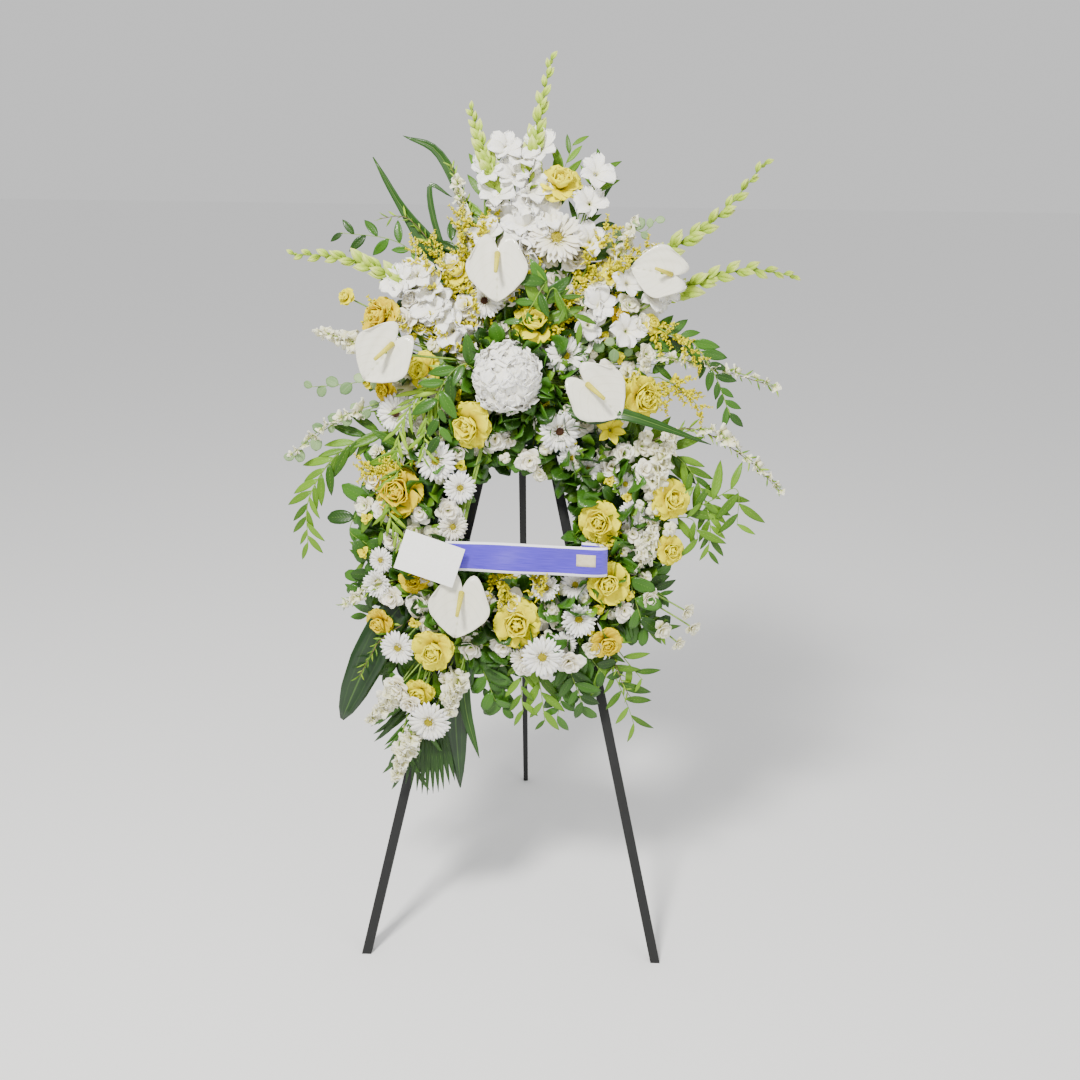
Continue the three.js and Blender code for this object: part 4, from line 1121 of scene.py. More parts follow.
SPIKES = {
    "gladiolus_top": (
        [(8, 1222, 98), (8, 1380, 100), (18, 1540, 112), (40, 1690, 118), (54, 1766, 118)],
        0.40, 0.62, 9,
    ),
    "gladiolus_top_left": (
        [(-14, 1222, 92), (-16, 1380, 96), (-32, 1500, 108), (-70, 1610, 118), (-92, 1676, 118)],
        0.45, 0.70, 5,
    ),
    "gladiolus_left": (
        [(-46, 1208, 88), (-150, 1318, 100), (-255, 1384, 112), (-340, 1406, 118), (-420, 1410, 120)],
        0.22, 0.52, 7,
    ),
    "gladiolus_right_high": (
        [(34, 1226, 80), (150, 1340, 90), (270, 1424, 100), (366, 1492, 116), (446, 1588, 120)],
        0.30, 0.52, 4,
    ),
    "gladiolus_right_low": (
        [(44, 1204, 84), (160, 1282, 84), (300, 1358, 92), (410, 1394, 112), (510, 1384, 118)],
        0.22, 0.56, 7,
    ),
}
for order, (name, (points, flowering, budding, florets)) in enumerate(SPIKES.items()):
    line = [spot(*p) for p in points]
    parts = [
        spray(open_floret, line, Count=florets, Start=flowering - 0.08, End=budding, Spread=0.95,
              Alternate=1.0,
              Turn=0.5, Wobble=0.25, Size_first=0.95, Size_last=0.55, Stalk_first=0.0034, Stalk_last=0.0012,
              Seed=order),
        spray(bud, line, Count=15, Start=budding - 0.05, End=0.985, Spread=0.42, Alternate=1.0, Wobble=0.12,
              Size_first=1.05, Size_last=0.42, Stalk_first=0.003, Stalk_last=0.0012, Seed=order + 20),
        spray(bud, line, Count=11, Start=budding - 0.02, End=0.97, Spread=0.36, Alternate=0.0, Turn=2.0,
              Wobble=0.2,
              Size_first=0.9, Size_last=0.36, Stalk_first=0.003, Stalk_last=0.0012, Seed=order + 40),
    ]
    piece("florets_of_" + name, [(part, Matrix()) for part in parts], "gladiolus_bud", name)

snap_line = [spot(*p) for p in [(-44, 1158, 84), (-160, 1156, 66), (-270, 1234, 78), (-370, 1272, 98)]]
snap = spray(snap_floret, snap_line, Count=34, Start=0.45, End=0.99, Spread=1.1, Alternate=0.0, Turn=2.4,
             Wobble=0.2,
             Size_first=1.8, Size_last=0.7, Stalk_first=0.003, Stalk_last=0.001, Seed=60)
piece("florets_of_snapdragon", [(snap, Matrix())], "snapdragon_petal", "snapdragon_left")

# %% [markdown]
# ## Long leaves
# A blade of aspidistra or flax is one leaf, tens of centimetres long. It is a sheet drawn along the same
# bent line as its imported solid, widest in the middle, folded a little along its midrib. The broad leaf at
# the lower left is the same sheet, only wider.

# %% Blades along their lines
def blade_mesh(points, width, outline, material=BLADE, fold=0.18, facing=OUT, wave=0.0):
    line = [v.co.copy() for v in smooth_path(points, 5).vertices]
    shares, widths = zip(*outline)
    rows = []
    for i, place in enumerate(line):
        s = i / (len(line) - 1)
        ahead_of = line[min(i + 1, len(line) - 1)] - line[max(i - 1, 0)]
        side = ahead_of.cross(facing).normalized()
        front = side.cross(ahead_of).normalized()
        half = width / 2 * MM * float(np.interp(s, shares, widths))
        row = []
        for j in range(7):
            t = 2 * j / 6 - 1
            ripple = wave * MM * math.sin(9 * s + 2 * t) * abs(t)
            row.append(tuple(place + side * half * t + front * (fold * half * abs(t) + ripple)))
        rows.append(row)
    return sheet_mesh("blade", rows, 0.0008, material)


TAILED = [(0, 0.4), (0.25, 0.9), (0.45, 1.0), (0.58, 0.62), (0.7, 0.36), (0.86, 0.26), (1, 0.04)]
FULL = [(0, 0.3), (0.25, 0.9), (0.5, 1.0), (0.75, 0.86), (0.9, 0.5), (1, 0.05)]
BLADES = {
    "blade_leaf_right": ([(44, 1150, 96), (140, 1120, 128), (200, 1128, 152), (360, 1076, 156)], 26, SPEAR),
    "spear_leaf": ([(-34, 1226, 82), (-130, 1380, 78), (-216, 1496, 82), (-274, 1592, 86)], 40, TAILED),
    "hanging_leaf": ([(-90, 730, 46), (-104, 650, 70), (-114, 540, 60), (-104, 376, 46)], 56, FULL),
    "broad_leaf": ([(-176, 800, 46), (-246, 716, 74), (-296, 616, 66), (-342, 512, 50)], 70, ROUNDED_LEAF),
}
for name, (points, width, outline) in BLADES.items():
    finish = DEEP_BLADE if name in ("hanging_leaf", "broad_leaf") else BLADE
    blade = blade_mesh([spot(*p) for p in points], width, outline, finish, wave=2.0)
    piece("leaf_of_" + name, [(blade, Matrix())], "leaf", name)

# %% [markdown]
# ## Leafy branches
# Ruscus branches reach out on both sides and droop. Their leaves sit alternately left and right of the
# stalk and shrink towards its tip. The palm frond has long narrow leaflets that droop more.

# %% Branches
def leaf_sample(name, length, width, outline, material, curl=0.35, fold=0.25, steps=(6, 4)):
    rows = petal_rows(length, width, outline, curl, 0.0, 0.0, 2, steps, fold)
    return sample(sheet_mesh(name, rows, 0.0006, material))


ruscus = leaf_sample("ruscus", 0.072, 0.019, POINTED, LEAF)
ruscus_dark = leaf_sample("ruscus_dark", 0.060, 0.024, POINTED, DARK_LEAF)
ruscus_pale = leaf_sample("ruscus_pale", 0.058, 0.021, POINTED, FRESH_LEAF)
leaflet = leaf_sample("leaflet", 0.128, 0.013, SPEAR, DARK_LEAF, 0.5, 0.3, (6, 2))
oval = leaf_sample("oval", 0.030, 0.024, ROUNDED_LEAF, GREY_LEAF, 0.2, 0.1)
needle = leaf_sample("needle", 0.026, 0.005, SPEAR, FRESH_LEAF, 0.4, 0.2, (3, 1))
willow = leaf_sample("willow", 0.052, 0.008, SPEAR, FRESH_LEAF, 0.4, 0.2, (4, 2))
lemon_leaf = leaf_sample("lemon_leaf", 0.066, 0.034, ROUNDED_LEAF, DARK_LEAF, 0.4, 0.2)

BRANCHES = {
    "branch_left": (
        [(-160, 1030, 40), (-250, 1086, 66), (-340, 1044, 80), (-398, 956, 82), (-402, 866, 76)],
        ruscus, 27, 0.18, 0.55,
    ),
    "branch_right_high": (
        [(44, 1192, 80), (180, 1246, 82), (300, 1276, 96), (362, 1214, 104), (400, 1130, 100)],
        ruscus_dark, 26, 0.3, 0.6,
    ),
    "branch_right_low": (
        [(162, 1030, 40), (270, 1066, 60), (338, 1016, 70), (372, 930, 72), (372, 866, 68)],
        ruscus, 24, 0.2, 0.55,
    ),
    "palm_frond": (
        [(-128, 760, 40), (-170, 640, 60), (-198, 540, 68), (-208, 470, 64), (-206, 430, 60)],
        leaflet, 36, 0.36, 0.50,
    ),
}
for order, (name, (points, leaf, count, start, spread)) in enumerate(BRANCHES.items()):
    mesh = spray(leaf, [spot(*p) for p in points], Count=count, Start=start, End=0.99, Spread=spread,
                 Wobble=0.22,
                 Size_first=1.0, Size_last=0.6, Stalk_first=0.0022, Stalk_last=0.0008, Seed=80 + order)
    parts = [(mesh, Matrix())]
    if name == "palm_frond":
        for k in range(11):
            tip = (-224 + 11 * k, 392 - 30 * math.sin(math.pi * k / 10), 52 + 3 * (k % 3))
            ends = [spot(-182 + 3 * k, 560, 58), spot((-182 + 3 * k + tip[0]) / 2, 480, 60), spot(*tip)]
            parts.append((blade_mesh(ends, 14, SPEAR, DARK_LEAF), Matrix()))
    piece("leaves_of_" + name, parts, "leaf", name)

# %% [markdown]
# ## The greens behind the flowers
# Before any flower goes in, the florist hides the foam under greens. Short sprays of ruscus, lemon leaf,
# fern and box radiate from the ring, and longer ones fan out above the crest. Each spray is grown on its
# own line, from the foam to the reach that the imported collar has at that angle, with the tip drooping.

# %% Sprays round the ring and over the crest
REACH = [(-180, 325), (-135, 415), (-90, 395), (-45, 415), (0, 322), (45, 335), (90, 300), (135, 335),
         (180, 325)]
FAN = [(0, 300), (30, 325), (60, 345), (90, 325), (120, 345), (150, 325), (180, 300)]
greens = random.Random(17)


def radial(centre, angle, first, last, out, droop):
    """A line from the foam outwards at an angle in degrees, sinking at its end."""
    a = math.radians(angle)
    points = []
    for k in range(4):
        s = k / 3
        r = first + (last - first) * s
        sway = 12 * math.sin(2.2 * s + angle)
        points.append(
            spot(
                centre[0] + r * math.cos(a) - sway * math.sin(a),
                centre[1] + r * math.sin(a) + sway * math.cos(a) - droop * s * s,
                out + 26 * math.sin(math.pi * s * 0.7),
            )
        )
    return points


GREENS_KINDS = [(ruscus, 10), (ruscus_dark, 11), (lemon_leaf, 8), (ruscus, 9), (lemon_leaf, 8)]


def greens_sprays(centre, reach, angles, first, out):
    """One spray of a random kind at each angle, as long as reach allows there."""
    parts = []
    for order, angle in enumerate(angles):
        degrees, lengths = zip(*reach)
        last = float(np.interp(angle, degrees, lengths)) * greens.uniform(0.84, 1.0)
        leaf, count = greens.choice(GREENS_KINDS)
        line = radial(
            centre, angle + greens.uniform(-4, 4), first, last - 20,
            out + greens.uniform(-6, 16), greens.uniform(4, 22),
        )
        parts.append(
            (
                spray(leaf, line, Count=count, Start=0.15, End=0.98, Spread=greens.uniform(0.6, 0.95),
                      Wobble=0.28,
                      Size_first=1.0, Size_last=0.62, Stalk_first=0.0018, Stalk_last=0.0007,
                      Seed=200 + order),
                Matrix(),
            )
        )
    return parts


ring_angles = [-180 + 360 * k / 46 for k in range(46)]
collar = greens_sprays((0, RING_UP), REACH, ring_angles, 215, 34)
fan = greens_sprays((5, 1196), FAN, [4 + 172 * k / 22 for k in range(23)], 30, 58)

ivy = leaf_sample("ivy", 0.046, 0.036, ROUNDED_LEAF, DARK_LEAF, 0.5, 0.2, (4, 4))
box_leaf = leaf_sample("box_leaf", 0.034, 0.022, ROUNDED_LEAF, LEAF, 0.5, 0.2, (4, 2))


def mound(across_radius, tube, sides):
    """The foam ring's front as a ring-shaped surface for the cover to grow on."""
    build = bmesh.new()
    rings = []
    for i in range(sides):
        a = math.tau * i / sides
        ring = []
        for j in range(9):
            b = math.pi * (j / 8) * 1.15 - 0.25
            r = across_radius + tube * math.cos(b)
            out = 40 + tube * 0.75 * math.sin(b)
            ring.append(build.verts.new(spot(r * math.cos(a), RING_UP + r * math.sin(a), out)))
        rings.append(ring)
    for first, second in zip(rings, rings[1:] + rings[:1]):
        for j in range(8):
            build.faces.new((first[j], second[j], second[j + 1], first[j + 1]))
    mesh = bpy.data.meshes.new("mound")
    build.to_mesh(mesh)
    build.free()
    return mesh


ring_cover = cover(
    mound(RING_CORE, 62, 40), ivy, Density=1500.0, Size_low=0.7, Size_high=1.25, Tilt=1.1, Seed=3
)
ring_cover_small = cover(
    mound(RING_CORE, 66, 40), box_leaf, Density=1500.0, Size_low=0.7, Size_high=1.3, Tilt=1.1, Seed=4
)
dome_mesh = bpy.data.meshes.new("dome")
build = bmesh.new()
bmesh.ops.create_icosphere(build, subdivisions=3, radius=1.0)
for face in [f for f in build.faces if f.calc_center_median().z < -0.2]:
    build.faces.remove(face)
build.to_mesh(dome_mesh)
build.free()
dome_basis = Matrix((ACROSS, UP, OUT)).transposed().to_4x4()
dome_mesh.transform(Matrix.Translation(spot(5, 1205, 84)) @ dome_basis @ Matrix.Diagonal((0.105, 0.095,
                                                                                          0.042, 1)))
crest_cover = cover(dome_mesh.copy(), ivy, Density=2400.0, Size_low=0.7, Size_high=1.2, Tilt=1.1, Seed=5)
crest_cover_small = cover(dome_mesh, box_leaf, Density=2000.0, Size_low=0.7, Size_high=1.2, Tilt=1.1, Seed=6)
piece("greens_round_the_ring", collar, "leaf", "greens_collar")
piece("greens_over_the_crest", fan, "leaf", "greens_fan")
piece("cover_of_the_foam_ring", [(ring_cover, Matrix()), (ring_cover_small, Matrix())], "leaf")
piece("cover_of_the_crest", [(crest_cover, Matrix()), (crest_cover_small, Matrix())], "leaf")

# %% [markdown]
# ## The sash ribbon
# A satin sash lies across the ring, over the flowers on both sides. It is a single sheet, cut straight,
# that rises and falls a little along its length. Its right end is folded back. The purple field has a
# white border along each edge, which is woven in, so the colour follows the sheet's own UV map.

# %% Ribbon material
RIBBON, surface = shader("ribbon_cloth", "5a44c4", 0.38, Sheen_Weight=0.4)
tree = RIBBON.node_tree
uv = put(tree, "ShaderNodeTexCoord")["UV"]
split = put(tree, "ShaderNodeSeparateXYZ", {"Vector": uv})
edge = maths(tree, "ABSOLUTE", maths(tree, "SUBTRACT", split["X"], 0.5))
border = maths(tree, "GREATER_THAN", edge, 0.42)
satin = noise(tree, 1.0, 3.0, put(tree, "ShaderNodeMapping", {"Vector": uv, "Scale": (60, 14, 1)})["Vector"])
field = ramp(tree, satin, [(0.3, "3a20b4"), (0.7, "5a3fd0")])
tree.links.new(mixed(tree, border, field, colour("f1f0f6")), surface.inputs["Base Color"])
bumped(tree, surface, satin, 0.2, 0.0004)

# %% The sash and its tag
sash_line = [(-128, 136), (-80, 146), (0, 152), (80, 148), (150, 150), (176, 142), (164, 130), (128, 126)]
sash_points = [v.co.copy() for v in smooth_path([Vector((a, 0, o)) for a, o in sash_line], 10).vertices]


def on_sash(i, t, proud=0.0):
    """A point of the sash: i counts along its line, t runs from -0.5 to 0.5 across its width."""
    point, s = sash_points[i], i / (len(sash_points) - 1)
    lift = 3.0 * math.sin(11 * s + 2.4 * t) + 2.0 * math.sin(23 * s - 3 * t)
    sag = 3.0 * math.sin(7 * s + 0.6)
    return tuple(spot(point.x, 856 + 56 * t + sag, point.z + lift + proud))


rows = [[on_sash(i, j / 8 - 0.5) for j in range(9)] for i in range(len(sash_points))]
sash = piece("sash_ribbon", [(sheet_mesh("sash", rows, 0.0006, RIBBON), Matrix())], "ribbon_cloth", "ribbon")

# %% [markdown]
# ## The smaller flowers between the large ones
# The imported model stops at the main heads. On the real wreath the gaps between them are filled with more
# roses and gerberas, with stock, carnations and lisianthus, and with loose gladiolus florets. They are
# all grown by the same whorl. Each has its own stem to the nearest foam, so that nothing floats.


# %% Filler heads
def filler(name, kind_places, slot, forward=0.62, neck=0.7):
    """One piece from a list of (mesh, across, up, out, size in mm), each with its stem."""
    parts, lines = [], []
    for order, (mesh, across, up, out, size) in enumerate(kind_places):
        matrix, line = head(
            spot(across, up, out), root_for(across, up), forward, neck * size * MM, order * 1.7, size * MM,
            0.03
        )
        parts.append((mesh, matrix))
        lines.append(line)
    parts.append((stem_mesh(lines, 0.0020, 0.0016), Matrix()))
    return piece(name, parts, slot)


carnation_petal = petal_sample("carnation_petal", 0.02, CREAM, 0.95, 0.95, ROUND, 0.6, 0.2, 0.12, 4, (3, 4))
carnation = gathered("carnation", [
    (whorl(carnation_petal, Count=9, Lean_first=0.1, Lean_last=0.5, Height_first=-0.3, Height_last=-0.4,
           Size_first=0.7, Size_last=0.95, Wobble=0.2, Radius_last=0.1, Seed=11), Matrix()),
    (whorl(carnation_petal, Count=11, Lean_first=0.7, Lean_last=1.35, Height_first=-0.4, Height_last=-0.45,
           Size_first=0.95, Size_last=1.0, Wobble=0.2, Radius_last=0.1, Seed=12), Matrix()),
])
ivory_petal = petal_sample("ivory_petal", 0.02, IVORY, 1.0, 0.9, ROUND, 0.7, 0.3, 0.06, 2, (4, 4))
lisianthus = whorl(ivory_petal, Count=11, Lean_first=0.15, Lean_last=0.95, Height_first=-0.5,
                   Height_last=-0.6,
                   Size_first=0.75, Size_last=1.0, Wobble=0.12, Radius_first=0.02, Radius_last=0.12, Seed=13)
stock_petal = petal_sample("stock_petal", 0.02, IVORY, 0.85, 0.85, ROUND, 0.9, 0.15, 0.08, 3, (3, 3))
stock = gathered("stock", [
    (whorl(stock_petal, Count=4, Turn=math.tau / 4, Lean_first=1.1, Lean_last=1.1, Wobble=0.2, Seed=14),
     Matrix()),
    (whorl(stock_petal, Count=4, Turn=math.tau / 4, Lean_first=0.6, Lean_last=0.6, Size_first=0.7,
           Size_last=0.7,
           Wobble=0.25, Seed=15), Matrix()),
])
small_petal = petal_sample("small_petal", 0.02, ROSE, 0.9, 0.8, ROUND, 0.6, 0.4, 0.03, 2, (3, 3))
small_yellow = whorl(small_petal, Count=8, Lean_first=0.25, Lean_last=1.1, Height_first=-0.3,
                     Height_last=-0.4,
                     Size_first=0.7, Size_last=1.0, Wobble=0.15, Radius_last=0.08, Seed=17)
lily_petal = petal_sample("lily_petal", 0.02, ROSE, 1.1, 0.6, SPEAR, 0.9, 0.3, 0.03, 2, (6, 4))
lily = whorl(lily_petal, Count=6, Turn=math.tau / 6, Lean_first=0.8, Lean_last=0.8, Height_first=-0.4,
             Height_last=-0.4, Wobble=0.1, Radius_first=0.05, Radius_last=0.05, Seed=16)

gold, yellow, wide = rose_kinds[2], rose_kinds[0], rose_kinds[3]
filler("more_roses", [
    (yellow, -115, 1385, 105, 25), (gold, -250, 1165, 104, 20), (gold, -190, 806, 108, 26),
    (wide, 298, 872, 96, 26),
    (gold, 180, 690, 104, 27), (yellow, -180, 582, 98, 24), (lily, 178, 1100, 112, 30),
    (gold, -262, 716, 84, 24),
    (wide, 176, 1388, 106, 22), (yellow, -283, 1182, 84, 14), (yellow, 55, 1140, 112, 15),
    (gold, 190, 1312, 104, 17),
    (yellow, 250, 1296, 100, 16), (yellow, -325, 1338, 88, 15),
], "rose_petal")
filler("more_gerberas", [
    (gerbera_brown, -62, 1332, 112, 36), (gerbera_yellow, -104, 984, 112, 32),
    (gerbera_pale, -118, 908, 100, 30),
    (gerbera_cup, -262, 796, 92, 32), (gerbera_yellow, -222, 672, 106, 36), (gerbera_cup, 62, 796, 108, 30),
    (gerbera_yellow, 118, 802, 100, 32), (gerbera_pale, 22, 655, 96, 30),
], "gerbera_petal", 0.75, 0.3)

# %% [markdown]
# ## White florets, stock and carnations
# The white between the roses is made of four kinds of small flower. Loose gladiolus florets surround the
# crest, stock crowds the lower left and the right, and carnations and lisianthus are found all round. Only
# their places across and up are listed. How far out and how large each one is follows from its turn.

# %% White florets, stock and carnations
open_white = whorl(flare, Count=6, Turn=math.tau / 6, Lean_first=0.75, Lean_last=0.75,
                   Wobble=0.15, Radius_first=0.003, Radius_last=0.003, Seed=31)
loose = [
    (20, 1505), (25, 1530), (10, 1470), (-10, 1555), (-220, 1365), (-185, 1375), (-160, 1350), (-160, 1315),
    (-120, 1275), (200, 1365), (150, 1325), (200, 1280), (245, 1345), (270, 1355), (-140, 1300), (130, 1290),
    (0, 1590), (34, 1602), (-24, 1604), (52, 1484), (-42, 1522), (-58, 1562), (128, 1508), (138, 1560),
    (-60, 1448), (130, 1440),
]
filler(
    "loose_gladiolus_florets",
    [(open_white, a, u, 108, 700 + 40 * (k % 3)) for k, (a, u) in enumerate(loose)],
    "gladiolus_bud", 0.7, 0.012,
)
stocks = [
    (-120, 590), (-105, 620), (-120, 545), (-208, 486), (-214, 440), (260, 1065), (280, 1088), (240, 882),
    (252, 818),
    (230, 1236), (220, 1196), (245, 1000), (255, 972), (240, 930), (75, 752), (-130, 575), (-98, 604),
    (-132, 610),
    (-112, 562), (-222, 468), (-198, 462), (268, 1044), (292, 1068), (246, 1088), (228, 906), (258, 858),
    (262, 950),
    (236, 958), (212, 1216), (240, 1216), (88, 738), (62, 740), (-140, 1128), (-20, 1040), (120, 1040),
    (-60, 1132),
]
filler(
    "stock_florets",
    [(stock, a, u, 92 + 5 * (k % 4), 15 + 2 * (k % 3)) for k, (a, u) in enumerate(stocks)],
    "snapdragon_petal", 0.6, 0.3,
)
carnations = [
    (-15, 1075), (-180, 1100), (-165, 1175), (-180, 935), (205, 1055), (180, 1030), (245, 1025), (-125, 940),
    (-150, 750), (-20, 675), (65, 640), (110, 650), (65, 1160), (25, 1035), (-225, 590), (-200, 560),
    (-245, 560),
    (-40, 1075), (-236, 880), (-252, 940), (-84, 672), (214, 752), (-56, 1170), (130, 1210), (-110, 1050),
    (200, 1130),
]
filler(
    "carnations",
    [(carnation, a, u, 94 + 5 * (k % 4), 22 + 3 * (k % 3)) for k, (a, u) in enumerate(carnations)],
    "gerbera_petal", 0.6, 0.3,
)
lisianthuses = [
    (190, 745), (335, 752), (290, 716), (322, 688), (348, 720), (262, 776), (-25, 645), (45, 1010),
    (-120, 1120),
    (-300, 1120), (150, 990), (-204, 1060), (-270, 1050), (226, 836), (140, 868),
]
filler(
    "lisianthus_buds",
    [(lisianthus, a, u, 88 + 6 * (k % 3), 15 + 3 * (k % 3)) for k, (a, u) in enumerate(lisianthuses)],
    "gerbera_petal", 0.5, 0.6,
)

# %% [markdown]
# ## Flowers tucked into the gaps
# A florist closes the last gaps one by one, wherever foam still shows. The same is done here by trying
# random places, with a fixed seed, and keeping those that are far enough from every flower so far.

# %% Flowers tucked into the gaps that are left
TRIES = 6000
tuck = random.Random(23)
taken = [(across, up) for across, up, *_ in [*ROSES.values(), *GERBERAS.values(), *ANTHURIUMS.values()]]
taken += [*loose, *carnations, *lisianthuses, (-16, 1190), (-62, 1332), (-104, 984), (-262, 796), (-222, 672)]


def gaps(count, pick, apart):
    """Random places from pick that keep their distance from every flower so far."""
    found = []
    for _ in range(TRIES):
        across, up = pick()
        if len(found) < count and all(math.hypot(across - a, up - u) > apart for a, u in taken):
            found.append((across, up))
            taken.append((across, up))
    return found


def on_ring():
    """A random place on the ring."""
    angle, r = tuck.uniform(-math.pi, math.pi), tuck.uniform(142, 296)
    return r * math.cos(angle), RING_UP + r * math.sin(angle)


def on_crest():
    """A random place in the oval of the crest."""
    angle, r = tuck.uniform(-math.pi, math.pi), math.sqrt(tuck.random())
    return 262 * r * math.cos(angle), 1276 + 160 * r * math.sin(angle)


ring_gaps = gaps(54, on_ring, 33)
crest_gaps = gaps(34, on_crest, 34)
kinds = [(carnation, 25), (stock, 21), (lisianthus, 23), (carnation, 28), (gerbera_yellow, 27), (stock, 19)]
tucked = [(kinds[k % 6][0], a, u, tuck.uniform(86, 104), kinds[k % 6][1]) for k,
          (a, u) in enumerate(ring_gaps)]
tucked += [
    (kinds[(k * 5) % 4][0], a, u, tuck.uniform(96, 116), kinds[(k * 5) % 4][1])
    for k, (a, u) in enumerate(crest_gaps)
]
filler("flowers_in_the_gaps", tucked, "gerbera_petal", 0.62, 0.3)
yellow_gaps = gaps(16, on_ring, 24) + gaps(12, on_crest, 26)
filler("small_yellow_flowers", [(small_yellow, a, u, 102, 15) for a, u in yellow_gaps],
       "rose_petal", 0.62, 0.7)

# %% [markdown]
# ## Spikes of stock and the wax-flower's blossoms
# Stock stands in loose spikes, and the wax-flower carries small blossoms at the ends of its twigs. Both
# are sprays of the snapdragon's floret. The stock's florets are larger and begin lower on their stalk.

# %% Spikes of stock and the wax-flower's blossoms
STOCK_LINES = [
    [(-92, 664, 84), (-100, 630, 98), (-112, 590, 102), (-124, 540, 100)],
    [(-176, 560, 84), (-196, 500, 98), (-212, 452, 96), (-226, 408, 90)],
    [(-180, 640, 84), (-214, 600, 98), (-246, 560, 98), (-282, 520, 90)],
    [(214, 940, 60), (262, 1010, 96), (282, 1060, 98), (300, 1100, 92)],
    [(190, 860, 60), (236, 850, 96), (256, 890, 100), (262, 940, 96)],
    [(30, 1222, 80), (170, 1400, 96), (196, 1440, 98), (214, 1490, 94)],
    [(-30, 1222, 80), (-96, 1430, 92), (-106, 1500, 94), (-120, 1560, 90)],
]
BLOSSOM_LINES = [
    [(-130, 1180, 84), (-260, 1141, 96), (-355, 1100, 98), (-430, 1038, 96)],
    [(44, 1210, 84), (240, 1238, 94), (420, 1206, 96), (486, 1184, 94)],
    [(170, 1020, 64), (345, 1104, 94), (435, 1052, 94), (506, 988, 92)],
    [(-180, 810, 64), (-240, 800, 92), (-285, 784, 92), (-326, 752, 92)],
]
spikes = []
for order, points in enumerate(STOCK_LINES + BLOSSOM_LINES):
    blossom = points in BLOSSOM_LINES
    low = 0.5 if blossom else 0.40
    spikes.append(
        (
            spray(snap_floret, [spot(*p) for p in points], Count=12 if blossom else 26, Start=low, End=0.99,
                  Spread=1.0, Alternate=0.0, Turn=2.4, Wobble=0.3, Size_first=0.8 if blossom else 1.25,
                  Size_last=0.55, Stalk_first=0.0016, Stalk_last=0.0007, Seed=700 + order),
            Matrix(),
        )
    )
piece("stock_and_waxflower", spikes, "snapdragon_petal")

# %% [markdown]
# ## Goldenrod, eucalyptus and wax-flower
# Goldenrod is a plume of arching twigs, crowded with tiny yellow heads, so it is a spray of sprays. Since
# a plume holds hundreds of heads, each has only a few faces. Eucalyptus carries round grey leaves and
# wax-flower fine needles, both on long stalks. Single sprays of ruscus and lemon leaf fill in round them.

# %% Plumes of goldenrod
grain_rows = petal_rows(0.0088, 0.0070, ROUND, 0.5, 0.4, 0.0, 2, (2, 1))
golden_grain = sample(sheet_mesh("golden_grain", grain_rows, 0.0012, GOLDEN))
twig_line = [Vector((0, 0, 0)), Vector((0.008, 0, 0.045))]
golden_twig = sample(spray(golden_grain, twig_line, Count=16, Start=0.12, End=1.0, Spread=0.9,
                           Alternate=0.0, Turn=2.4,
                           Wobble=0.5, Size_first=1.1, Size_last=0.8, Stalk_first=0.0005,
                           Stalk_last=0.0003, Seed=2,
                           face=Vector((-1, 0, 0))))
PLUMES = [
    [(-35, 1505), (-100, 1385)], [(-110, 1490), (-90, 1385)],
    [(-195, 1425), (-120, 1320)], [(-165, 1440), (-100, 1330)],
    [(-75, 1470), (-60, 1350)], [(-50, 1225), (-20, 1190)],
    [(-170, 1290), (-90, 1230)], [(-115, 1255), (-60, 1210)],
    [(30, 1400), (20, 1300)], [(112, 1358), (60, 1270)],
    [(95, 1310), (50, 1240)], [(165, 1465), (110, 1360)],
    [(205, 1432), (130, 1330)], [(240, 1437), (160, 1340)],
    [(340, 1225), (240, 1300)], [(345, 1140), (265, 1198)],
    [(-15, 775), (-40, 830)], [(50, 828), (60, 760)],
    [(190, 888), (150, 850)], [(-100, 1352), (-60, 1270)],
    [(-265, 1312), (-170, 1260)], [(-250, 1022), (-190, 1000)],
    [(-285, 1012), (-220, 1010)], [(275, 1160), (180, 1180)],
]
plume_parts = []
for order, ((a, u), (a0, u0)) in enumerate(PLUMES):
    root = root_for(a0, u0)
    base, tip = spot(a0, u0, 92), spot(a, u, 104 + 6 * (order % 3))
    bow = (base + tip) / 2 + UP * 0.008 + OUT * 0.012
    plume = spray(golden_twig, [base, bow, tip], Count=12, Start=0.08, End=1.0, Spread=0.75, Wobble=0.3,
                  Alternate=1.0, Turn=0.35, Size_first=0.95, Size_last=0.6, Stalk_first=0.0012,
                  Stalk_last=0.0005,
                  Seed=400 + order)
    stem_line = [root, (root + base) / 2 + OUT * 0.004, base]
    plume_parts += [(plume, Matrix()), (stem_mesh([stem_line], 0.0014, 0.0012), Matrix())]
piece("goldenrod", plume_parts, "rose_petal")

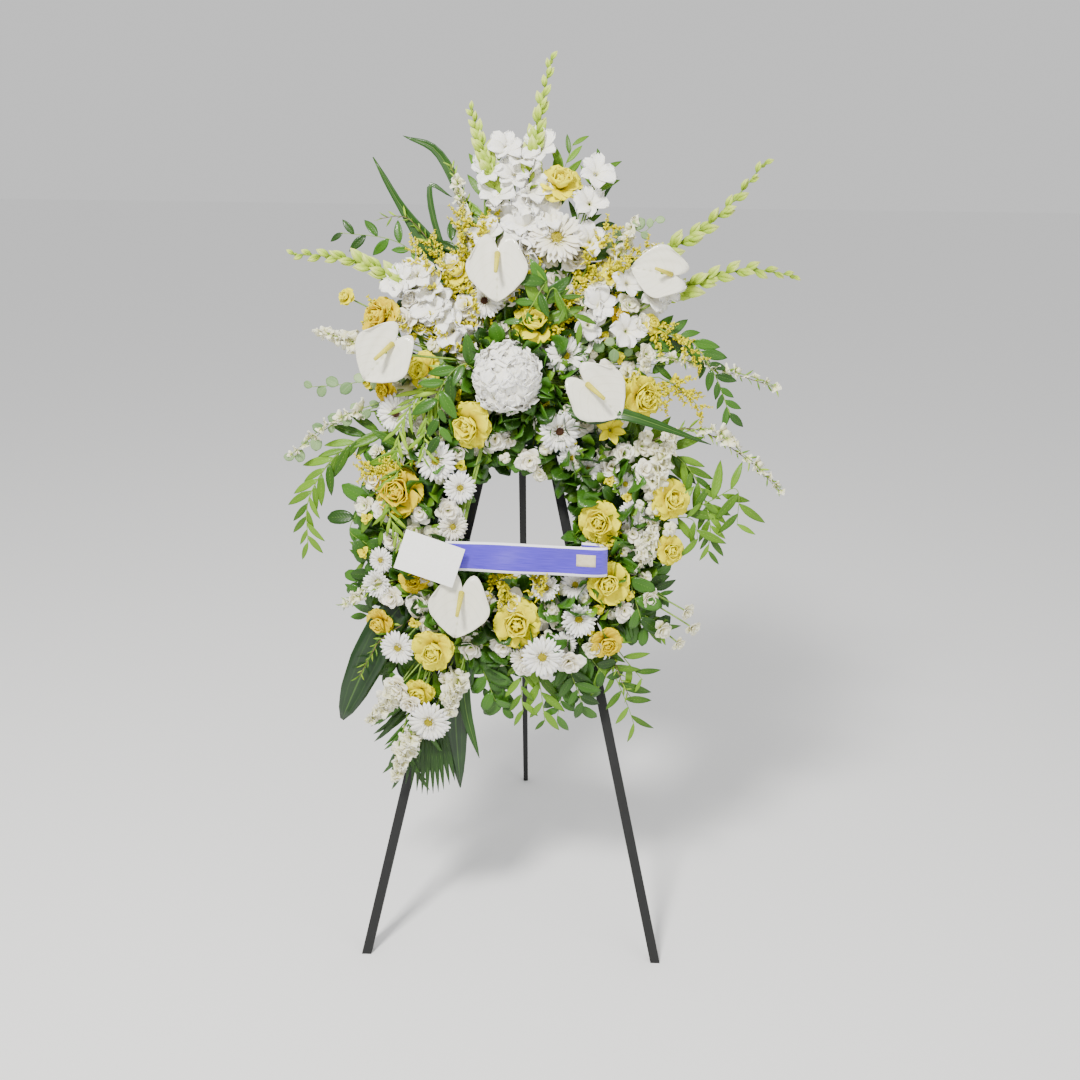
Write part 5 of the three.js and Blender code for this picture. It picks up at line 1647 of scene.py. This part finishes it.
# %% Eucalyptus, wax-flower and single leaves
TWIGS = [
    (oval, [(-130, 1180, 80), (-260, 1135, 92), (-355, 1094, 94), (-425, 1034, 92)], 13, 0.3, 0.8),
    (oval, [(-30, 1222, 80), (-200, 1200, 92), (-315, 1176, 94), (-392, 1168, 92)], 11, 0.3, 0.8),
    (oval, [(44, 1200, 80), (110, 1250, 112), (150, 1262, 116), (200, 1236, 116)], 8, 0.2, 0.9),
    (needle, [(44, 1210, 80), (240, 1236, 90), (345, 1222, 92), (420, 1202, 92), (486, 1182, 92)], 40, 0.4,
     0.7),
    (needle, [(170, 1020, 60), (280, 1090, 84), (345, 1100, 90), (435, 1048, 92), (500, 990, 90)], 40, 0.4,
     0.7),
    (needle, [(-30, 1226, 80), (-70, 1400, 84), (-96, 1500, 90), (-130, 1580, 92)], 44, 0.4, 0.6),
    (needle, [(-180, 810, 60), (-240, 796, 88), (-285, 780, 90), (-330, 752, 90)], 24, 0.3, 0.8),
    (needle, [(-170, 740, 60), (-250, 690, 88), (-275, 656, 90), (-300, 610, 90)], 24, 0.3, 0.8),
    (oval, [(120, 1230, 80), (185, 1450, 92), (230, 1462, 96), (252, 1486, 98)], 9, 0.55, 0.8),
    (needle, [(150, 740, 50), (200, 640, 70), (214, 606, 76), (228, 582, 78)], 20, 0.3, 0.8),
    (ruscus_dark, [(-60, 1180, 110), (-95, 1215, 138), (-140, 1165, 144), (-140, 1080, 138)], 11, 0.2, 0.7),
    (ruscus, [(-150, 1000, 70), (-220, 1060, 96), (-265, 955, 102), (-250, 900, 100)], 11, 0.2, 0.7),
    (ruscus_dark, [(20, 1225, 110), (55, 1362, 146), (30, 1325, 152), (8, 1290, 150)], 9, 0.3, 0.8),
    (ruscus, [(30, 1225, 110), (60, 1350, 146), (92, 1318, 152), (118, 1290, 150)], 9, 0.3, 0.8),
    (lemon_leaf, [(160, 830, 70), (205, 856, 98), (225, 800, 100), (245, 738, 96)], 8, 0.25, 0.8),
    (lemon_leaf, [(-170, 960, 60), (-270, 960, 84), (-318, 900, 88), (-285, 870, 88)], 8, 0.3, 0.8),
    (ruscus_pale, [(-20, 720, 60), (-60, 690, 84), (-86, 670, 88), (-125, 725, 88)], 8, 0.2, 0.8),
    (ruscus, [(190, 900, 60), (290, 930, 80), (338, 930, 84), (350, 892, 84)], 9, 0.3, 0.8),
    (ruscus, [(190, 880, 60), (360, 960, 76), (420, 990, 80), (424, 920, 80)], 10, 0.45, 0.8),
    (lemon_leaf, [(-60, 730, 50), (-70, 660, 66), (-50, 600, 66), (-35, 560, 60)], 8, 0.3, 0.8),
    (ruscus_dark, [(90, 740, 50), (100, 640, 66), (95, 570, 62), (88, 530, 56)], 10, 0.3, 0.8),
    (ruscus, [(140, 760, 50), (190, 640, 66), (225, 560, 60), (240, 518, 54)], 11, 0.3, 0.8),
    (ruscus, [(30, 1222, 80), (90, 1420, 92), (118, 1520, 100), (150, 1580, 96)], 12, 0.45, 0.7),
    (ruscus, [(20, 1222, 80), (40, 1420, 88), (70, 1540, 92), (96, 1620, 90)], 13, 0.5, 0.6),
    (ruscus, [(-6, 1222, 80), (-50, 1420, 88), (-66, 1500, 92), (-60, 1590, 90)], 12, 0.5, 0.6),
    (willow, [(-40, 1222, 100), (-110, 1200, 130), (-160, 1130, 136), (-172, 1040, 132)], 22, 0.3, 0.5),
    (willow, [(-60, 1190, 100), (-150, 1180, 124), (-205, 1120, 130), (-225, 1040, 128)], 22, 0.35, 0.5),
    (willow, [(-170, 1050, 80), (-222, 1010, 122), (-236, 940, 126), (-212, 872, 120)], 20, 0.3, 0.5),
    (ruscus_dark, [(-24, 1222, 80), (-160, 1380, 84), (-230, 1440, 86), (-335, 1455, 84)], 12, 0.4, 0.8),
    (needle, [(-24, 1222, 80), (-140, 1400, 84), (-205, 1480, 86), (-262, 1482, 84)], 34, 0.4, 0.7),
]
twig_parts = []
for order, (leaf, points, count, start, spread) in enumerate(TWIGS):
    fine = leaf is needle
    twig = spray(leaf, [spot(*p) for p in points], stalk=WOODY if fine else STEM, Count=count, Start=start,
                 End=0.99,
                 Spread=spread, Wobble=0.3, Alternate=0.0 if fine else 1.0, Turn=2.4 if fine else 0.0,
                 Size_first=1.0,
                 Size_last=0.65, Stalk_first=0.0016, Stalk_last=0.0006, Seed=600 + order)
    twig_parts.append((twig, Matrix()))
for points, width in (
    ([(-96, 740, 46), (-100, 650, 72), (-92, 540, 66), (-66, 440, 52)], 26),
    ([(-30, 1226, 60), (-96, 1480, 58), (-153, 1603, 60), (-222, 1636, 62)], 20),
    ([(-32, 1222, 70), (-140, 1420, 72), (-170, 1540, 74), (-128, 1524, 76)], 12),
    ([(30, 1222, 70), (110, 1420, 78), (135, 1495, 84), (178, 1562, 88)], 13),
):
    twig_parts.append((blade_mesh([spot(*p) for p in points], width, SPEAR, wave=1.5), Matrix()))
piece("eucalyptus_and_leaf_sprays", twig_parts, "leaf")

# %% [markdown]
# ## The ribbon's tag
# A small paper tag is stuck on the sash near its right end. It is a piece of the same surface, a
# millimetre proud of it, so it follows every rise of the cloth.

# %% The ribbon's tag
under_tag = [i for i, point in enumerate(sash_points) if 112 <= point.x <= 156 and i < 45]
tag_rows = [[on_sash(i, 0.1 * j - 0.16, 0.9) for j in range(5)] for i in under_tag]
print("tag spans", len(under_tag), "rows of the sash")
TAG = plain_finish("tag_paper", "cdbf9c", "ddd2b4", 0.8, 200.0, 0.15, 0.0002)
piece("ribbon_tag", [(sheet_mesh("tag", tag_rows, 0.0005, TAG), Matrix())], "card_paper")

# %% [markdown]
# ## Finish
# The sample shapes have done their work and go.

# %% Clear the samples and finish
for thing in samples:
    bpy.data.objects.remove(thing)
